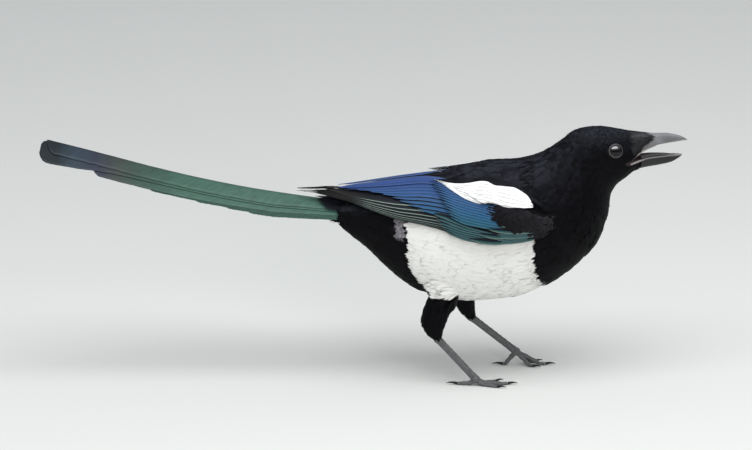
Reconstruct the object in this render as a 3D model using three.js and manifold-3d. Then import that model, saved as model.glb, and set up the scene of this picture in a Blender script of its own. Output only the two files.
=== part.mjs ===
// A life-size Eurasian magpie, striding, with its bill open. Millimetres, +Z up, the bill towards +X,
// the bird's right side towards -Y, and the floor at z = 0.
import * as THREE from "three";
import { mergeVertices } from "three/addons/utils/BufferGeometryUtils.js";
import Module from "manifold-3d";

const wasm = await Module();
wasm.setup();

// Driving dimensions
const GAP = 0.3; // air left between two nodes that touch
const VANE = 0.55; // thickness of a feather's vane
const LAYER = VANE + 0.35; // from one vane to the one that it lies on
const RACHIS = 0.2; // how far a feather's shaft stands above its vane
const TIDY = 0.05; // how far a vertex may be off when needless ones are dropped
const BODY_SIDES = 22; // facets round the body

// The body in sections from the tail's root to the bill's root. Each runs from a point on the bird's back
// to one on its belly, with the half width, the level of the widest place as a share of the height,
// and the exponent of the section's roundness: 1 is an ellipse, less is squarer.
const BODY = [
  { name: "rear", top: [-14, 135], bottom: [-14, 112], half: 14.5, level: 0.5, square: 0.85 },
  { name: "vent", top: [5.4, 141], bottom: [2.5, 97], half: 18, level: 0.52, square: 0.9 },
  { name: "rump", top: [27, 145.5], bottom: [21.2, 79], half: 24, level: 0.52, square: 0.9 },
  { name: "hip", top: [48.6, 150], bottom: [41.4, 65.7], half: 30, level: 0.5, square: 0.86 },
  { name: "belly", top: [70.2, 158.6], bottom: [65.2, 60.3], half: 33.5, level: 0.5, square: 0.86 },
  { name: "mid", top: [90.4, 162.3], bottom: [90.4, 60.4], half: 35, level: 0.5, square: 0.88 },
  { name: "breast", top: [109.1, 164.3], bottom: [119.2, 65.8], half: 35.5, level: 0.48, square: 0.92 },
  { name: "keel", top: [122, 167.6], bottom: [144.4, 79.3], half: 32.5, level: 0.47, square: 0.95 },
  { name: "neck_root", top: [132.1, 172.4], bottom: [166.7, 101.6], half: 27, level: 0.46, square: 1 },
  { name: "neck", top: [140.8, 178.8], bottom: [175.3, 124.1], half: 21.5, level: 0.46, square: 1 },
  { name: "throat", top: [149.4, 185.2], bottom: [177.5, 138.3], half: 18, level: 0.47, square: 1 },
  { name: "nape", top: [158, 188.3], bottom: [181.8, 146], half: 16.5, level: 0.48, square: 1 },
  { name: "eye", top: [169.6, 189], bottom: [187.8, 151.1], half: 15.5, level: 0.48, square: 1 },
  { name: "lore", top: [181.1, 187.4], bottom: [193.3, 155.6], half: 12.6, level: 0.46, square: 1 },
  { name: "brow", top: [191.2, 185.6], bottom: [196.2, 156.8], half: 9, level: 0.45, square: 0.98 },
  { name: "face", top: [199.8, 184.4], bottom: [197.6, 157.3], half: 6.2, level: 0.45, square: 0.95 },
];
const NECK_CUT = BODY.findIndex((s) => s.name === "neck_root") + 0.2;
const HEAD_CUT = BODY.findIndex((s) => s.name === "nape") + 0.1;
const CUT_SHARE = 0.016; // half of the gap at a cut, as a share of a section's spacing

// Catmull-Rom value at a fractional index of a list of numbers
function along(values, t) {
  const last = values.length - 1;
  const i = Math.min(Math.max(Math.floor(t), 0), last - 1);
  const f = t - i;
  const b = values[i];
  const c = values[i + 1];
  const a = i > 0 ? values[i - 1] : 2 * b - c;
  const d = i + 1 < last ? values[i + 2] : 2 * c - b;
  return b + 0.5 * f * (c - a + f * (2 * a - 5 * b + 4 * c - d + f * (3 * (b - c) + d - a)));
}

const signedPower = (v, p) => Math.sign(v) * Math.abs(v) ** p;

// A point of the body's surface: section t, and angle from the back (0) over the left side to the belly (pi)
function bodyPoint(t, angle) {
  const get = (pick) => along(BODY.map(pick), t);
  const top = new THREE.Vector3(get((s) => s.top[0]), 0, get((s) => s.top[1]));
  const bottom = new THREE.Vector3(get((s) => s.bottom[0]), 0, get((s) => s.bottom[1]));
  const level = get((s) => s.level);
  const square = get((s) => s.square);
  const centre = bottom.clone().lerp(top, level);
  const rise = signedPower(Math.cos(angle), square);
  const reach = rise >= 0 ? top : bottom;
  const point = centre.clone().lerp(reach, Math.abs(rise));
  point.y = get((s) => s.half) * signedPower(Math.sin(angle), square);
  return point;
}

function bodyNormal(t, angle) {
  const step = 0.02;
  const round = bodyPoint(t, angle + step).sub(bodyPoint(t, angle - step));
  const forward = bodyPoint(t + step, angle).sub(bodyPoint(t - step, angle));
  return forward.cross(round).normalize();
}

// Mesh helpers

// A closed solid from a list of vertices and of triangles, turned so that its faces point out
function solid(points, triangles) {
  const build = (faces) =>
    new wasm.Manifold(
      new wasm.Mesh({
        numProp: 3,
        vertProperties: new Float32Array(points.flatMap((p) => [p.x, p.y, p.z])),
        triVerts: new Uint32Array(faces.flat()),
      }),
    );
  const made = build(triangles);
  return made.volume() >= 0 ? made : build(triangles.map(([a, b, c]) => [a, c, b]));
}

// A solid through rings of equally many points, closed by a fan at each end
function loft(rings) {
  const n = rings[0].length;
  const points = rings.flat();
  const faces = [];
  for (let r = 0; r + 1 < rings.length; r++)
    for (let i = 0; i < n; i++) {
      const a = r * n + i;
      const b = r * n + ((i + 1) % n);
      faces.push([a, b, b + n], [a, b + n, a + n]);
    }
  const middle = (ring) => ring.reduce((s, p) => s.add(p), new THREE.Vector3()).divideScalar(n);
  const first = points.push(middle(rings[0])) - 1;
  const last = points.push(middle(rings.at(-1))) - 1;
  const end = (rings.length - 1) * n;
  for (let i = 0; i < n; i++) {
    const j = (i + 1) % n;
    faces.push([first, j, i], [last, end + i, end + j]);
  }
  return solid(points, faces);
}

// A thin solid between two grids of points of the same size, with the same split on both faces
function slab(upper, lower) {
  const rows = upper.length;
  const columns = upper[0].length;
  const points = [...upper.flat(), ...lower.flat()];
  const under = rows * columns;
  const at = (r, c) => r * columns + c;
  const faces = [];
  for (let r = 0; r + 1 < rows; r++)
    for (let c = 0; c + 1 < columns; c++) {
      const [a, b, d, e] = [at(r, c), at(r, c + 1), at(r + 1, c + 1), at(r + 1, c)];
      faces.push([a, b, d], [a, d, e]);
      faces.push([under + a, under + d, under + b], [under + a, under + e, under + d]);
    }
  const rim = [];
  for (let c = 0; c < columns - 1; c++) rim.push(at(0, c));
  for (let r = 0; r < rows - 1; r++) rim.push(at(r, columns - 1));
  for (let c = columns - 1; c > 0; c--) rim.push(at(rows - 1, c));
  for (let r = rows - 1; r > 0; r--) rim.push(at(r, 0));
  rim.forEach((a, i) => {
    const b = rim[(i + 1) % rim.length];
    faces.push([a, under + b, b], [a, under + a, under + b]);
  });
  return solid(points, faces);
}

const range = (n) => Array.from({ length: n }, (_, i) => i);
const lerp = THREE.MathUtils.lerp;
const rad = THREE.MathUtils.degToRad;
const joined = (solids) => solids.reduce((a, b) => a.add(b));
const largest = (s) => s.decompose().reduce((a, b) => (b.volume() > a.volume() ? b : a));

// A smooth function through rows of [x, value, value ...], highest x first; it returns the values at x
function profile(rows) {
  const slope = (i, k) => {
    const a = rows[Math.max(i - 1, 0)];
    const b = rows[Math.min(i + 1, rows.length - 1)];
    return (b[k] - a[k]) / (b[0] - a[0]);
  };
  return (x) => {
    const last = rows.length - 2;
    let i = rows.findIndex((row, n) => n <= last && x >= rows[n + 1][0]);
    if (i < 0) i = last;
    const h = rows[i + 1][0] - rows[i][0];
    const f = Math.min(Math.max((x - rows[i][0]) / h, -0.5), 1.5);
    const g = 1 - f;
    return range(rows[0].length - 1).map((n) => {
      const k = n + 1;
      const bend = g * slope(i, k) * h - f * slope(i + 1, k) * h;
      const straight = g * rows[i][k] + f * rows[i + 1][k];
      return straight + f * g * (bend + (2 * f - 1) * (rows[i + 1][k] - rows[i][k]));
    });
  };
}

const materials = {};
function paint(name, color, roughness) {
  materials[name] = new THREE.MeshStandardMaterial({ name, color, roughness, metalness: 0 });
}
paint("black", 0x101014, 0.7);
paint("white", 0xe9e8e0, 0.8);
paint("wing_blue", 0x24406f, 0.45);
paint("tail_green", 0x2a4a44, 0.45);
paint("bill_black", 0x26262a, 0.4);
paint("mouth", 0x6b5552, 0.6);
paint("eye_brown", 0x140d09, 0.1);
paint("leg_grey", 0x4b4a50, 0.6);
paint("claw_black", 0x18181a, 0.4);

const bird = new THREE.Group();
bird.name = "eurasian_magpie";

function addNode(name, made, material) {
  const mesh = largest(made).simplify(TIDY).getMesh();
  const geometry = new THREE.BufferGeometry();
  const points = new Float32Array(mesh.numVert * 3);
  for (let i = 0; i < mesh.numVert; i++)
    points.set(mesh.vertProperties.subarray(i * mesh.numProp, i * mesh.numProp + 3), i * 3);
  geometry.setAttribute("position", new THREE.BufferAttribute(points, 3));
  geometry.setIndex(new THREE.BufferAttribute(mesh.triVerts, 1));
  geometry.computeVertexNormals();
  const node = new THREE.Mesh(geometry, materials[material]);
  node.name = name;
  bird.add(node);
}

// Torso, neck and head are lengths of one loft
const bodyRing = (t, grow = 0) =>
  range(BODY_SIDES).map((i) => {
    const angle = (i / BODY_SIDES) * 2 * Math.PI;
    const point = bodyPoint(t, angle);
    return grow ? point.addScaledVector(bodyNormal(t, angle), grow) : point;
  });

function bodyLength(from, to, rings, grow = 0) {
  return loft(range(rings + 1).map((i) => bodyRing(lerp(from, to, i / rings), grow)));
}

const END = BODY.length - 1;
const TORSO_RINGS = 16;
const torso = bodyLength(0, NECK_CUT - CUT_SHARE, TORSO_RINGS);
const grownTorso = bodyLength(0, NECK_CUT - CUT_SHARE, TORSO_RINGS, GAP);
const neck = bodyLength(NECK_CUT + CUT_SHARE, HEAD_CUT - CUT_SHARE, 8);
const headLoft = bodyLength(HEAD_CUT + CUT_SHARE, END, 10);

// Eyes: a ball in a socket, ringed by lids that stand on the head's own surface
const EYE = { section: 12.35, angle: 74, radius: 5.5, depth: 3.9, lidRing: 4.85, lid: 0.8 };

function eyeFrame(side) {
  const angle = side * rad(EYE.angle);
  const normal = bodyNormal(EYE.section, angle);
  const surface = bodyPoint(EYE.section, angle);
  return { normal, centre: surface.addScaledVector(normal, -EYE.depth) };
}

// A solid of a three.js geometry
function solidOf(geometry) {
  const bare = geometry.clone();
  bare.deleteAttribute("normal");
  bare.deleteAttribute("uv");
  const merged = mergeVertices(bare, 1e-4);
  const place = merged.attributes.position;
  const points = range(place.count).map((i) => new THREE.Vector3().fromBufferAttribute(place, i));
  const faces = range(merged.index.count / 3)
    .map((i) => range(3).map((k) => merged.index.getX(3 * i + k)))
    .filter(([a, b, c]) => a !== b && b !== c && a !== c);
  return solid(points, faces);
}

const ball = (centre, radius, around = 12, high = 8) =>
  solidOf(new THREE.SphereGeometry(radius, around, high).translate(centre.x, centre.y, centre.z));

function lidRing({ centre, normal }) {
  const ring = new THREE.TorusGeometry(EYE.lidRing, EYE.lid, 5, 14);
  const out = Math.sqrt((EYE.radius + GAP + 0.5) ** 2 - EYE.lidRing ** 2);
  ring.applyQuaternion(new THREE.Quaternion().setFromUnitVectors(new THREE.Vector3(0, 0, 1), normal));
  const place = centre.clone().addScaledVector(normal, out);
  return solidOf(ring.translate(place.x, place.y, place.z));
}

// The open mouth: a wedge out of the head from the corners of the gape to the roots of the bill
const MOUTH = {
  corner: [189.3, 164.9],
  upper: [203, 175.9],
  lower: [203, 166.6],
};
function mouthWedge() {
  const half = 20;
  const outline = [MOUTH.corner, MOUTH.lower, MOUTH.upper];
  return solid(
    [-half, half].flatMap((y) => outline.map(([x, z]) => new THREE.Vector3(x, y, z))),
    [[0, 1, 2], [3, 5, 4], [0, 3, 4], [0, 4, 1], [1, 4, 5], [1, 5, 2], [2, 5, 3], [2, 3, 0]],
  );
}

let head = headLoft;
for (const side of [1, -1]) {
  const frame = eyeFrame(side);
  head = head.add(lidRing(frame)).subtract(ball(frame.centre, EYE.radius + GAP));
  addNode(side > 0 ? "eye_left" : "eye_right", ball(frame.centre, EYE.radius), "eye_brown");
}
head = head.subtract(mouthWedge());

// Bill: rows of x, the z of the outer edge, the z of the cutting edge, and the half width
const UPPER_BILL = [
  [231.3, 179.3, 178.9, 0.35],
  [228.6, 181, 178.9, 1.3],
  [223.6, 182.8, 178.4, 2.4],
  [216.4, 184, 177.6, 3.7],
  [209, 183.9, 176.3, 4.9],
  [204, 183.9, 174.4, 5.6],
  [200.2, 184, 172.9, 6],
];
const LOWER_BILL = [
  [227.8, 167.7, 168.3, 0.3],
  [225.5, 165.7, 168.4, 1.3],
  [220, 162.5, 168.2, 2.6],
  [212.8, 160.7, 167.8, 3.7],
  [205.6, 159.3, 167.1, 4.7],
  [199.9, 157.9, 165.8, 5.3],
];
const PALATE = 0.9; // hollow of the bill's inner faces
const LEAN = 2.2 / 27.1; // slope of the face that the bill's roots meet

function billHalf(rows) {
  const shape = profile(rows);
  const stretch = rows[0][0] - rows.at(-1)[0];
  const steps = 9;
  const arc = 8;
  return loft(
    range(steps + 1).map((i) => {
      const x = rows.at(-1)[0] + (stretch * i) / steps;
      const [outer, edge, half] = shape(x);
      const ring = range(arc + 1).map((k) => {
        const angle = (Math.PI * k) / arc;
        const y = half * Math.cos(angle);
        return new THREE.Vector3(x, y, edge + (outer - edge) * Math.sin(angle) ** 0.8);
      });
      for (const share of [-0.6, 0, 0.6]) {
        const hollow = PALATE * Math.min(1, Math.abs(outer - edge) / 5) * (1 - 0.7 * Math.abs(share));
        ring.push(new THREE.Vector3(x, share * half, edge + Math.sign(outer - edge) * hollow));
      }
      const root = 1 - Math.min(1, (3 * i) / steps);
      ring.forEach((p) => (p.x += root * LEAN * (p.z - 184.4)));
      return ring;
    }),
  );
}

// Bristles: tapered locks from the forehead and the lores, which lie forward over the bill's root.
// Each is given by its angle round the upper bill and the x of its tip.
const BRISTLES = [
  [16, 205.5],
  [38, 209.5],
  [60, 210],
  [82, 206.5],
];
function bristle(angle, tip, side) {
  const shape = profile(UPPER_BILL);
  const turn = rad(angle);
  const rings = range(4).map((i) => {
    const s = i / 3;
    const x = lerp(196, tip, s);
    const [outer, edge, half] = shape(Math.max(x, 200.2));
    const clear = lerp(0.3, 0.65, s) + 0.32 * Math.sin(Math.PI * s);
    const y = (half + clear) * Math.cos(turn);
    const z = edge + (outer - edge + clear) * Math.sin(turn) ** 0.8;
    const r = lerp(0.7, 0.13, s ** 1.5);
    return [x, side * y, z, r * 0.8, r * 1.3];
  });
  return loft(tubeRings(rings, 4, 1));
}

// Tongue: rows of x, z, half width and half thickness
const TONGUE = [
  [218, 168.8, 0.35, 0.3],
  [214, 168.8, 1.1, 0.4],
  [206, 168.7, 1.9, 0.5],
  [199, 168, 2.2, 0.6],
  [193.4, 166.7, 2.2, 0.6],
];
function tongue() {
  const shape = profile(TONGUE);
  const [tip, root] = [TONGUE[0][0], TONGUE.at(-1)[0]];
  return loft(
    range(7).map((i) => {
      const x = lerp(root, tip, i / 6);
      const [z, half, thick] = shape(x);
      return range(8).map((k) => {
        const angle = (k / 8) * 2 * Math.PI;
        return new THREE.Vector3(x, half * Math.cos(angle), z + thick * Math.sin(angle));
      });
    }),
  );
}

// Folded wing. Its surface at x is a quarter of an ellipse from the lower edge to the edge on the back.
// Rows of x, then y and z of the lower edge, and y and z of the upper edge, on the right side.
const WING = [
  [137, -32, 126, -29, 137],
  [128, -35.5, 119.6, -30, 139],
  [119, -37, 116.8, -27, 146],
  [105, -38, 114.8, -20, 153],
  [90, -38.3, 113.8, -15, 156],
  [72, -37.8, 116.8, -11, 154.8],
  [55, -35, 122, -5, 152.8],
  [40, -31.5, 124.6, -2, 151],
  [25, -28, 126.8, -1.4, 149.3],
  [11, -23.5, 130, -1.3, 147.6],
  [-3, -19, 134, -1.3, 145.8],
  [-18, -15, 137, -1.8, 144.2],
  [-33, -12, 138.7, -3.5, 143.3],
  [-50, -9.5, 140.6, -5, 143.4],
];
const wingShape = profile(WING);

function wingSurface(x, v) {
  const [yLow, zLow, yHigh, zHigh] = wingShape(x);
  const turn = (v * Math.PI) / 2;
  const y = yHigh + (yLow - yHigh) * Math.cos(turn);
  return new THREE.Vector3(x, y, zLow + (zHigh - zLow) * Math.sin(turn));
}

// A point of the wing: place v across it from the lower edge (0) to the back (1), and height above it
function wingPoint(x, v, height) {
  const across = wingSurface(x, v + 0.02).sub(wingSurface(x, v - 0.02));
  const forward = wingSurface(x + 1, v).sub(wingSurface(x - 1, v));
  const normal = forward.cross(across).normalize();
  return wingSurface(x, v).addScaledVector(normal, height);
}

const mirrored = (s) => s.mirror([0, 1, 0]);

// The folded fan. Feathers are numbered from the outermost primary (0) to the innermost tertial, and
// place v of number q at x lies between these rows: x, then v for the last primary and the last tertial.
const LAST_PRIMARY = 9;
const LAST_TERTIAL = 18;
const FAN = [
  [137, 0.1, 0.5],
  [90, 0.1, 0.5],
  [60, 0.12, 0.76],
  [43, 0.15, 0.92],
  [15, 0.3, 0.98],
  [-14, 0.72, 1.12],
  [-30, 0.9, 1.3],
  [-50, 1, 1.5],
];
const fanRows = profile(FAN);
const BACK_EDGE = 0.97; // no vane of a wing passes this place, so the two wings stay apart

function fan(x, q) {
  const [primary, tertial] = fanRows(x);
  if (q <= LAST_PRIMARY) return (primary * q) / LAST_PRIMARY;
  const past = (q - LAST_PRIMARY) / (LAST_TERTIAL - LAST_PRIMARY);
  return primary * (1 + past) + (tertial - 2 * primary) * past ** 1.6;
}

// A vane from its root to its tip, with places as (x, feather number q). It lies one layer above its
// neighbour with the next lower number, at every q, so that two vanes can't meet.
const round = (s, from) => Math.sqrt(Math.max(0.03, 1 - Math.max(0, (s - from) / (1 - from)) ** 2));

const STATIONS = [124, 108, 92, 68, 47, 27, 9, -8, -22, -35];

// The rows of a vane: the shared stations that it passes, which keeps neighbours parallel, and its tip
function vaneRows(root, tip) {
  const passed = STATIONS.filter((x) => x < root - 2 && x > tip + 7);
  return [root, ...passed, tip + 3.5, tip];
}

const drop = (t) => Math.min(t, 2.5 + 0.15 * (t - 2.5)); // how many layers a vane sinks, t numbers inward

function wingVane({ number, root, tip, outer, inner, base, step = 1, limit = () => BACK_EDGE, taper = 12 }) {
  const line = (thickness, ridge) =>
    vaneRows(root, tip).map((x) => {
      const width = Math.sqrt(Math.min(1, (x - tip + 0.6) / taper));
      const tuck = lerp(1, 0.45, Math.min(1, Math.max(0, (x - 40) / 30)));
      return [-outer * width, 0, ...inner.map((q) => q * width * tuck)].map((aside, k) => {
        let q = number + aside;
        while (fan(x, q) > limit(x)) q -= 0.05;
        const height = base - LAYER * drop((q - number) / step) - thickness + (k === 1 ? ridge : 0);
        return wingPoint(x, fan(x, q), height);
      });
    });
  return slab(line(0, RACHIS), line(VANE, 0));
}

// Tips of the flight feathers, x, from the outermost primary to the innermost tertial
const FLIGHT_TIPS = [26, 1, -20, -35, -44, -48.6, -46, -41, -35, -28, 44, 39, 33, 27, 20, 12, 4, -5, -14];

// The arm: the feathered patch from the wrist back to the roots of the coverts
const ARM_TOP = 0.44; // place of its upper edge, where the shoulder feathers begin

function arm() {
  const columns = 5;
  const grid = (level) =>
    range(8).map((i) => {
      const x = lerp(136.5, 84, i / 7);
      return range(columns + 1).map((k) => wingPoint(x, lerp(-0.01, ARM_TOP, k / columns), level(x, k)));
    });
  const top = (x, k) => (k === 0 || k === columns ? 2 : 4) * Math.min(1, (x - 74) / 26);
  return slab(grid(top), grid((x) => (x > 128 ? -5 : -8)));
}

// Upper limit of the coverts at x: the lower edge of the white shoulder patch
const covertLimit = (x) => lerp(ARM_TOP, 0.62, Math.min(1, Math.max(0, (80 - x) / 22)));

const primaryInner = (number) => (number === LAST_PRIMARY ? [2.4, 7] : [2.4]);

function featheredWing() {
  const vanes = FLIGHT_TIPS.map((tip, number) =>
    number <= LAST_PRIMARY
      ? wingVane({ number, root: 90, tip, outer: 0.6, inner: primaryInner(number), base: -0.8, taper: 22 })
      : wingVane({ number, root: 90, tip, outer: 0.7, inner: [1.3], base: -0.8 }),
  );
  const coverts = (numbers, shape) =>
    numbers.forEach((number, i) => {
      const tip = shape.tip + shape.stagger * i;
      vanes.push(wingVane({ taper: 10, limit: covertLimit, ...shape, number, tip }));
    });
  const greater = { root: 92, tip: 61, stagger: -2.4, base: 1.75, outer: 0.75, inner: [0.85] };
  const ofPrimaries = { root: 108, tip: 65, stagger: 2.5, base: 1.6, outer: 1.9, inner: [1.9], step: 3.1 };
  coverts([10.2, 11.2, 12.2, 13.2, 14.2], greater);
  coverts([1.5, 4.6, 7.7], ofPrimaries);
  coverts([10.8, 12.6, 14.4], { root: 108, tip: 79, stagger: 0, base: 4, outer: 1.1, inner: [1], step: 1.8 });
  coverts([1.5], { root: 124, tip: 88, stagger: 0, base: 4, outer: 1.6, inner: [3.5], step: 5 });
  return joined([arm(), ...vanes]);
}

// White shoulder feathers, which lie over the wing's upper part in two rows
const SCAPULAR_ROWS = [
  { root: 92, tip: 56, base: 1.5, places: [0.56, 0.67, 0.78, 0.87] },
  { root: 116, tip: 76, base: 3.6, places: [0.58, 0.7, 0.82] },
];
const SCAPULAR_END = 0.8; // place that the tips of a row draw towards

function scapularVane(place, index, { root, tip, base }) {
  const end = tip + 40 * Math.abs(place - SCAPULAR_END);
  const line = (thickness, ridge) =>
    vaneRows(root, end).map((x) => {
      const width = 0.075 * Math.sqrt(Math.min(1, (x - end + 0.6) / 14));
      const centre = lerp(place, SCAPULAR_END, (0.5 * (root - x)) / (root - tip));
      return [-width, 0, width].map((aside, k) => {
        const height = base + 0.47 * (index - aside / 0.12) - thickness + (k === 1 ? ridge : 0);
        return wingPoint(x, Math.min(centre + aside, BACK_EDGE), height);
      });
    });
  return slab(line(0, RACHIS), line(VANE, 0));
}

function scapularBase() {
  const grid = (level) =>
    range(5).map((i) => {
      const x = lerp(119, 88, i / 4);
      return range(4).map((k) => wingPoint(x, lerp(0.53, 0.93, k / 3), level(k)));
    });
  return slab(grid((k) => (k % 3 === 0 ? 2.6 : 4.4)), grid(() => -9));
}

function featheredScapulars() {
  const rowOf = (row) => row.places.map((place, index) => scapularVane(place, index, row));
  return joined([scapularBase(), ...SCAPULAR_ROWS.flatMap(rowOf)]);
}

// Tail: rows of x, the z of its ridge, and how far out from the ridge the middle feathers and the others
// reach. Its section is a roof, rolled a little to the right.
const TAIL = [
  [-14.4, 131.4, 14, 17],
  [-46, 135.6, 13.5, 17],
  [-82, 141.3, 13.3, 17.2],
  [-118, 148.7, 13.4, 18.3],
  [-154, 157.6, 13.8, 19.2],
  [-183, 165.7, 15.6, 19.5],
  [-205, 171.7, 18.8, 19.5],
  [-231.5, 178.6, 20.8, 19.5],
];
const TAIL_ROLL = 5;
const TAIL_SLOPE = 0.48;
const tailRidge = profile(TAIL);
const roof = (a) => -TAIL_SLOPE * (Math.hypot(a, 5) - 5);

function tailPoint(x, a, height) {
  const [z] = tailRidge(x);
  const [zNext] = tailRidge(x - 1);
  const forward = new THREE.Vector3(-1, 0, zNext - z).normalize();
  const aside = new THREE.Vector3(0, 1, 0).applyAxisAngle(forward, rad(-TAIL_ROLL));
  const up = new THREE.Vector3().crossVectors(aside, forward).normalize();
  if (up.z < 0) up.negate();
  const spread = lerp(0.72, 1, Math.min(1, (-14 - x) / 50));
  const place = new THREE.Vector3(x, 0, z).addScaledVector(aside, a * spread);
  return place.addScaledVector(up, roof(a * spread) + height);
}

// Tail feathers in pairs from the middle one (0) out: how much shorter each is than the longest
const TAIL_TIP = -231;
const TAIL_STEPS = [0, 38, 76, 108, 130, 146];
const TAIL_EDGE = 0.35; // by which each pair stands out past the one above

const TAIL_STATIONS = [-50, -84, -118, -152, -184, -210];

function tailVane(pair, side) {
  const tip = TAIL_TIP + TAIL_STEPS[pair] + (side > 0 ? 3.5 + pair : 0);
  const inner = pair === 0 ? (side > 0 ? [0, -4, -12] : [0, -4]) : [];
  const shaft = pair === 0 && side > 0 ? 4 : 9;
  const base = pair === 0 && side > 0 ? LAYER : -LAYER * pair;
  const passed = TAIL_STATIONS.filter((x) => x > tip + 14);
  const line = (thickness, ridge) =>
    [-20, ...passed, tip + 8, tip + 4, tip + 1.5, tip].map((x) => {
      const width = Math.sqrt(1 - (1 - Math.min(1, (x - tip + 0.4) / 8)) ** 2);
      const [, middle, others] = tailRidge(x);
      const outer = pair === 0 ? middle : others + TAIL_EDGE * pair;
      return [outer, 9, 4, ...inner].map((aside) => {
        const place = side * (shaft + (aside - shaft) * width);
        return tailPoint(x, place, base - thickness + (aside === shaft ? ridge : 0));
      });
    });
  return slab(line(0, RACHIS), line(VANE, 0));
}

function tailRoot() {
  const grid = (level) =>
    range(4).map((i) => {
      const x = lerp(-14.4, -32, i / 3);
      return range(7).map((k) => tailPoint(x, lerp(-17.5, 17.5, k / 6), level(i / 3)));
    });
  return slab(grid((s) => lerp(0.9, 0.5, s)), grid((s) => lerp(-6.5, -4.9, s)));
}

function featheredTail() {
  const vanes = range(TAIL_STEPS.length).flatMap((pair) => [tailVane(pair, 1), tailVane(pair, -1)]);
  return joined([tailRoot(), ...vanes]);
}

// Feathers of the torso that lie over other parts. Each is a vane between a root and a tip on a sheet
// given by sheet(x, aside, height).
function bodyVane(sheet, { root, tip, aside, half, base }) {
  const line = (thickness, ridge) =>
    range(6).map((r) => {
      const s = r / 5;
      const x = lerp(root, tip, s);
      const width = half * round(s, 0.55);
      return [-width, 0, width].map((w, k) => sheet(x, aside + w, base - thickness + (k === 1 ? ridge : 0)));
    });
  return slab(line(0, RACHIS), line(VANE, 0));
}

const MANTLE = profile([
  [82, 159.4],
  [74, 159.2],
  [55, 156.4],
  [38, 153.6],
]);
const mantleSheet = (x, y, height) => new THREE.Vector3(x, y, MANTLE(x)[0] - 0.008 * y * y + height);

function mantle() {
  const middle = bodyVane(mantleSheet, { root: 82, tip: 38, aside: 0, half: 5, base: 0 });
  const sides = [1, -1].map((side) =>
    bodyVane(mantleSheet, { root: 82, tip: 45, aside: 4.5 * side, half: 3.8, base: -LAYER }),
  );
  return joined([middle, ...sides]);
}

const TAIL_COVERTS = [
  { aside: 0, half: 7, tip: -34, base: 2.9 },
  { aside: 8, half: 6, tip: -27, base: 2 },
  { aside: -8, half: 6, tip: -28, base: 2 },
  { aside: 9, half: 7, tip: -25, base: -7.3 },
  { aside: -9, half: 7, tip: -26, base: -7.3 },
  { aside: 0, half: 8, tip: -33, base: -8.2 },
];

// Legs: sleeves of feathers on the shin, rows of x, y, z, half depth and half width
const THIGH = {
  right: [
    [59, -17, 84, 14, 11],
    [57.5, -17.5, 70, 12, 10.5],
    [55, -18, 62, 10.5, 9.5],
    [52.2, -18.5, 55, 9.6, 8.6],
    [50.4, -19, 48, 9.2, 7.6],
    [50.9, -19.5, 41.5, 7, 6],
    [52.4, -20, 37, 4.4, 4],
    [53.3, -20, 34.6, 3, 2.9],
  ],
  left: [
    [70, 16, 84, 14, 11],
    [70, 16.5, 70, 12, 10.5],
    [71, 17, 60, 10, 9],
    [72.3, 17.5, 52, 8, 7.6],
    [74.4, 18, 45.5, 6, 6],
    [76.6, 18, 41, 4.2, 4.2],
    [77.6, 18, 38.6, 3, 2.9],
  ],
};

// Rings round a line of rows: x, y, z, half depth, half width, and how far a plate stands out in front
function tubeRings(rows, sides, perRow) {
  const last = rows.length - 1;
  const count = last * perRow;
  const value = (k, t) => along(rows.map((r) => r[k]), t);
  return range(count + 1).map((i) => {
    const t = i / perRow;
    const centre = new THREE.Vector3(value(0, t), value(1, t), value(2, t));
    const low = Math.max(t - 0.1, 0);
    const high = Math.min(t + 0.1, last);
    const ahead = new THREE.Vector3(
      value(0, high) - value(0, low),
      value(1, high) - value(1, low),
      value(2, high) - value(2, low),
    ).normalize();
    const aside = new THREE.Vector3(0, 1, 0).addScaledVector(ahead, -ahead.y).normalize();
    const depth = new THREE.Vector3().crossVectors(aside, ahead);
    const plate = rows[0].length > 5 ? value(5, t) : 0;
    return range(sides).map((k) => {
      const angle = (k / sides) * 2 * Math.PI;
      const back = value(3, t) * Math.cos(angle) + plate * Math.min(0, Math.cos(angle));
      const out = value(4, t) * Math.sin(angle);
      return centre.clone().addScaledVector(depth, back).addScaledVector(aside, out);
    });
  });
}

const ANKLE = { right: [53.3, -20, 34.2], left: [77.8, 18, 38.2] };
const FOOT = { right: [80.3, -21.5, 4.6], left: [110.5, 23, 10.2] };
const SHANK = { depth: 2.5, width: 1.9 };

const SCUTES = 7;

// The shank, with its front scutes as raised plates. Grown by the gap it is the socket that holds it.
function shank(leg, grow = 0) {
  const a = new THREE.Vector3(...ANKLE[leg]);
  const b = new THREE.Vector3(...FOOT[leg]);
  const down = b.clone().sub(a).normalize();
  const start = a.clone().addScaledVector(down, -1.5 - grow);
  const end = b.clone().addScaledVector(down, grow);
  const scutes = range(SCUTES).flatMap((i) => [
    [0.1 + (0.8 * (i + 0.02)) / SCUTES, 0],
    [0.1 + (0.8 * (i + 0.9)) / SCUTES, 0.35],
  ]);
  const rows = [[0, 0], [0.06, 0], ...scutes, [0.94, 0], [1, 0]].map(([f, plate]) => {
    const swell = 1 + 0.25 * Math.exp(-((f / 0.08) ** 2)) + 0.15 * Math.exp(-(((1 - f) / 0.08) ** 2));
    const p = start.clone().lerp(end, f);
    return [p.x, p.y, p.z, SHANK.depth * swell + grow, SHANK.width * swell + grow, plate];
  });
  return loft(tubeRings(rows, 8, 1));
}

// Toes: heading from straight ahead, length, first radius, and the claw's length
const TOES = {
  inner: { heading: 24, length: 16, radius: 1.75, claw: 7 },
  middle: { heading: 2, length: 23, radius: 1.9, claw: 8 },
  outer: { heading: -20, length: 17, radius: 1.75, claw: 7 },
  hind: { heading: 176, length: 13, radius: 1.9, claw: 9 },
};
const TOE_TIP = 0.62;

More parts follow.
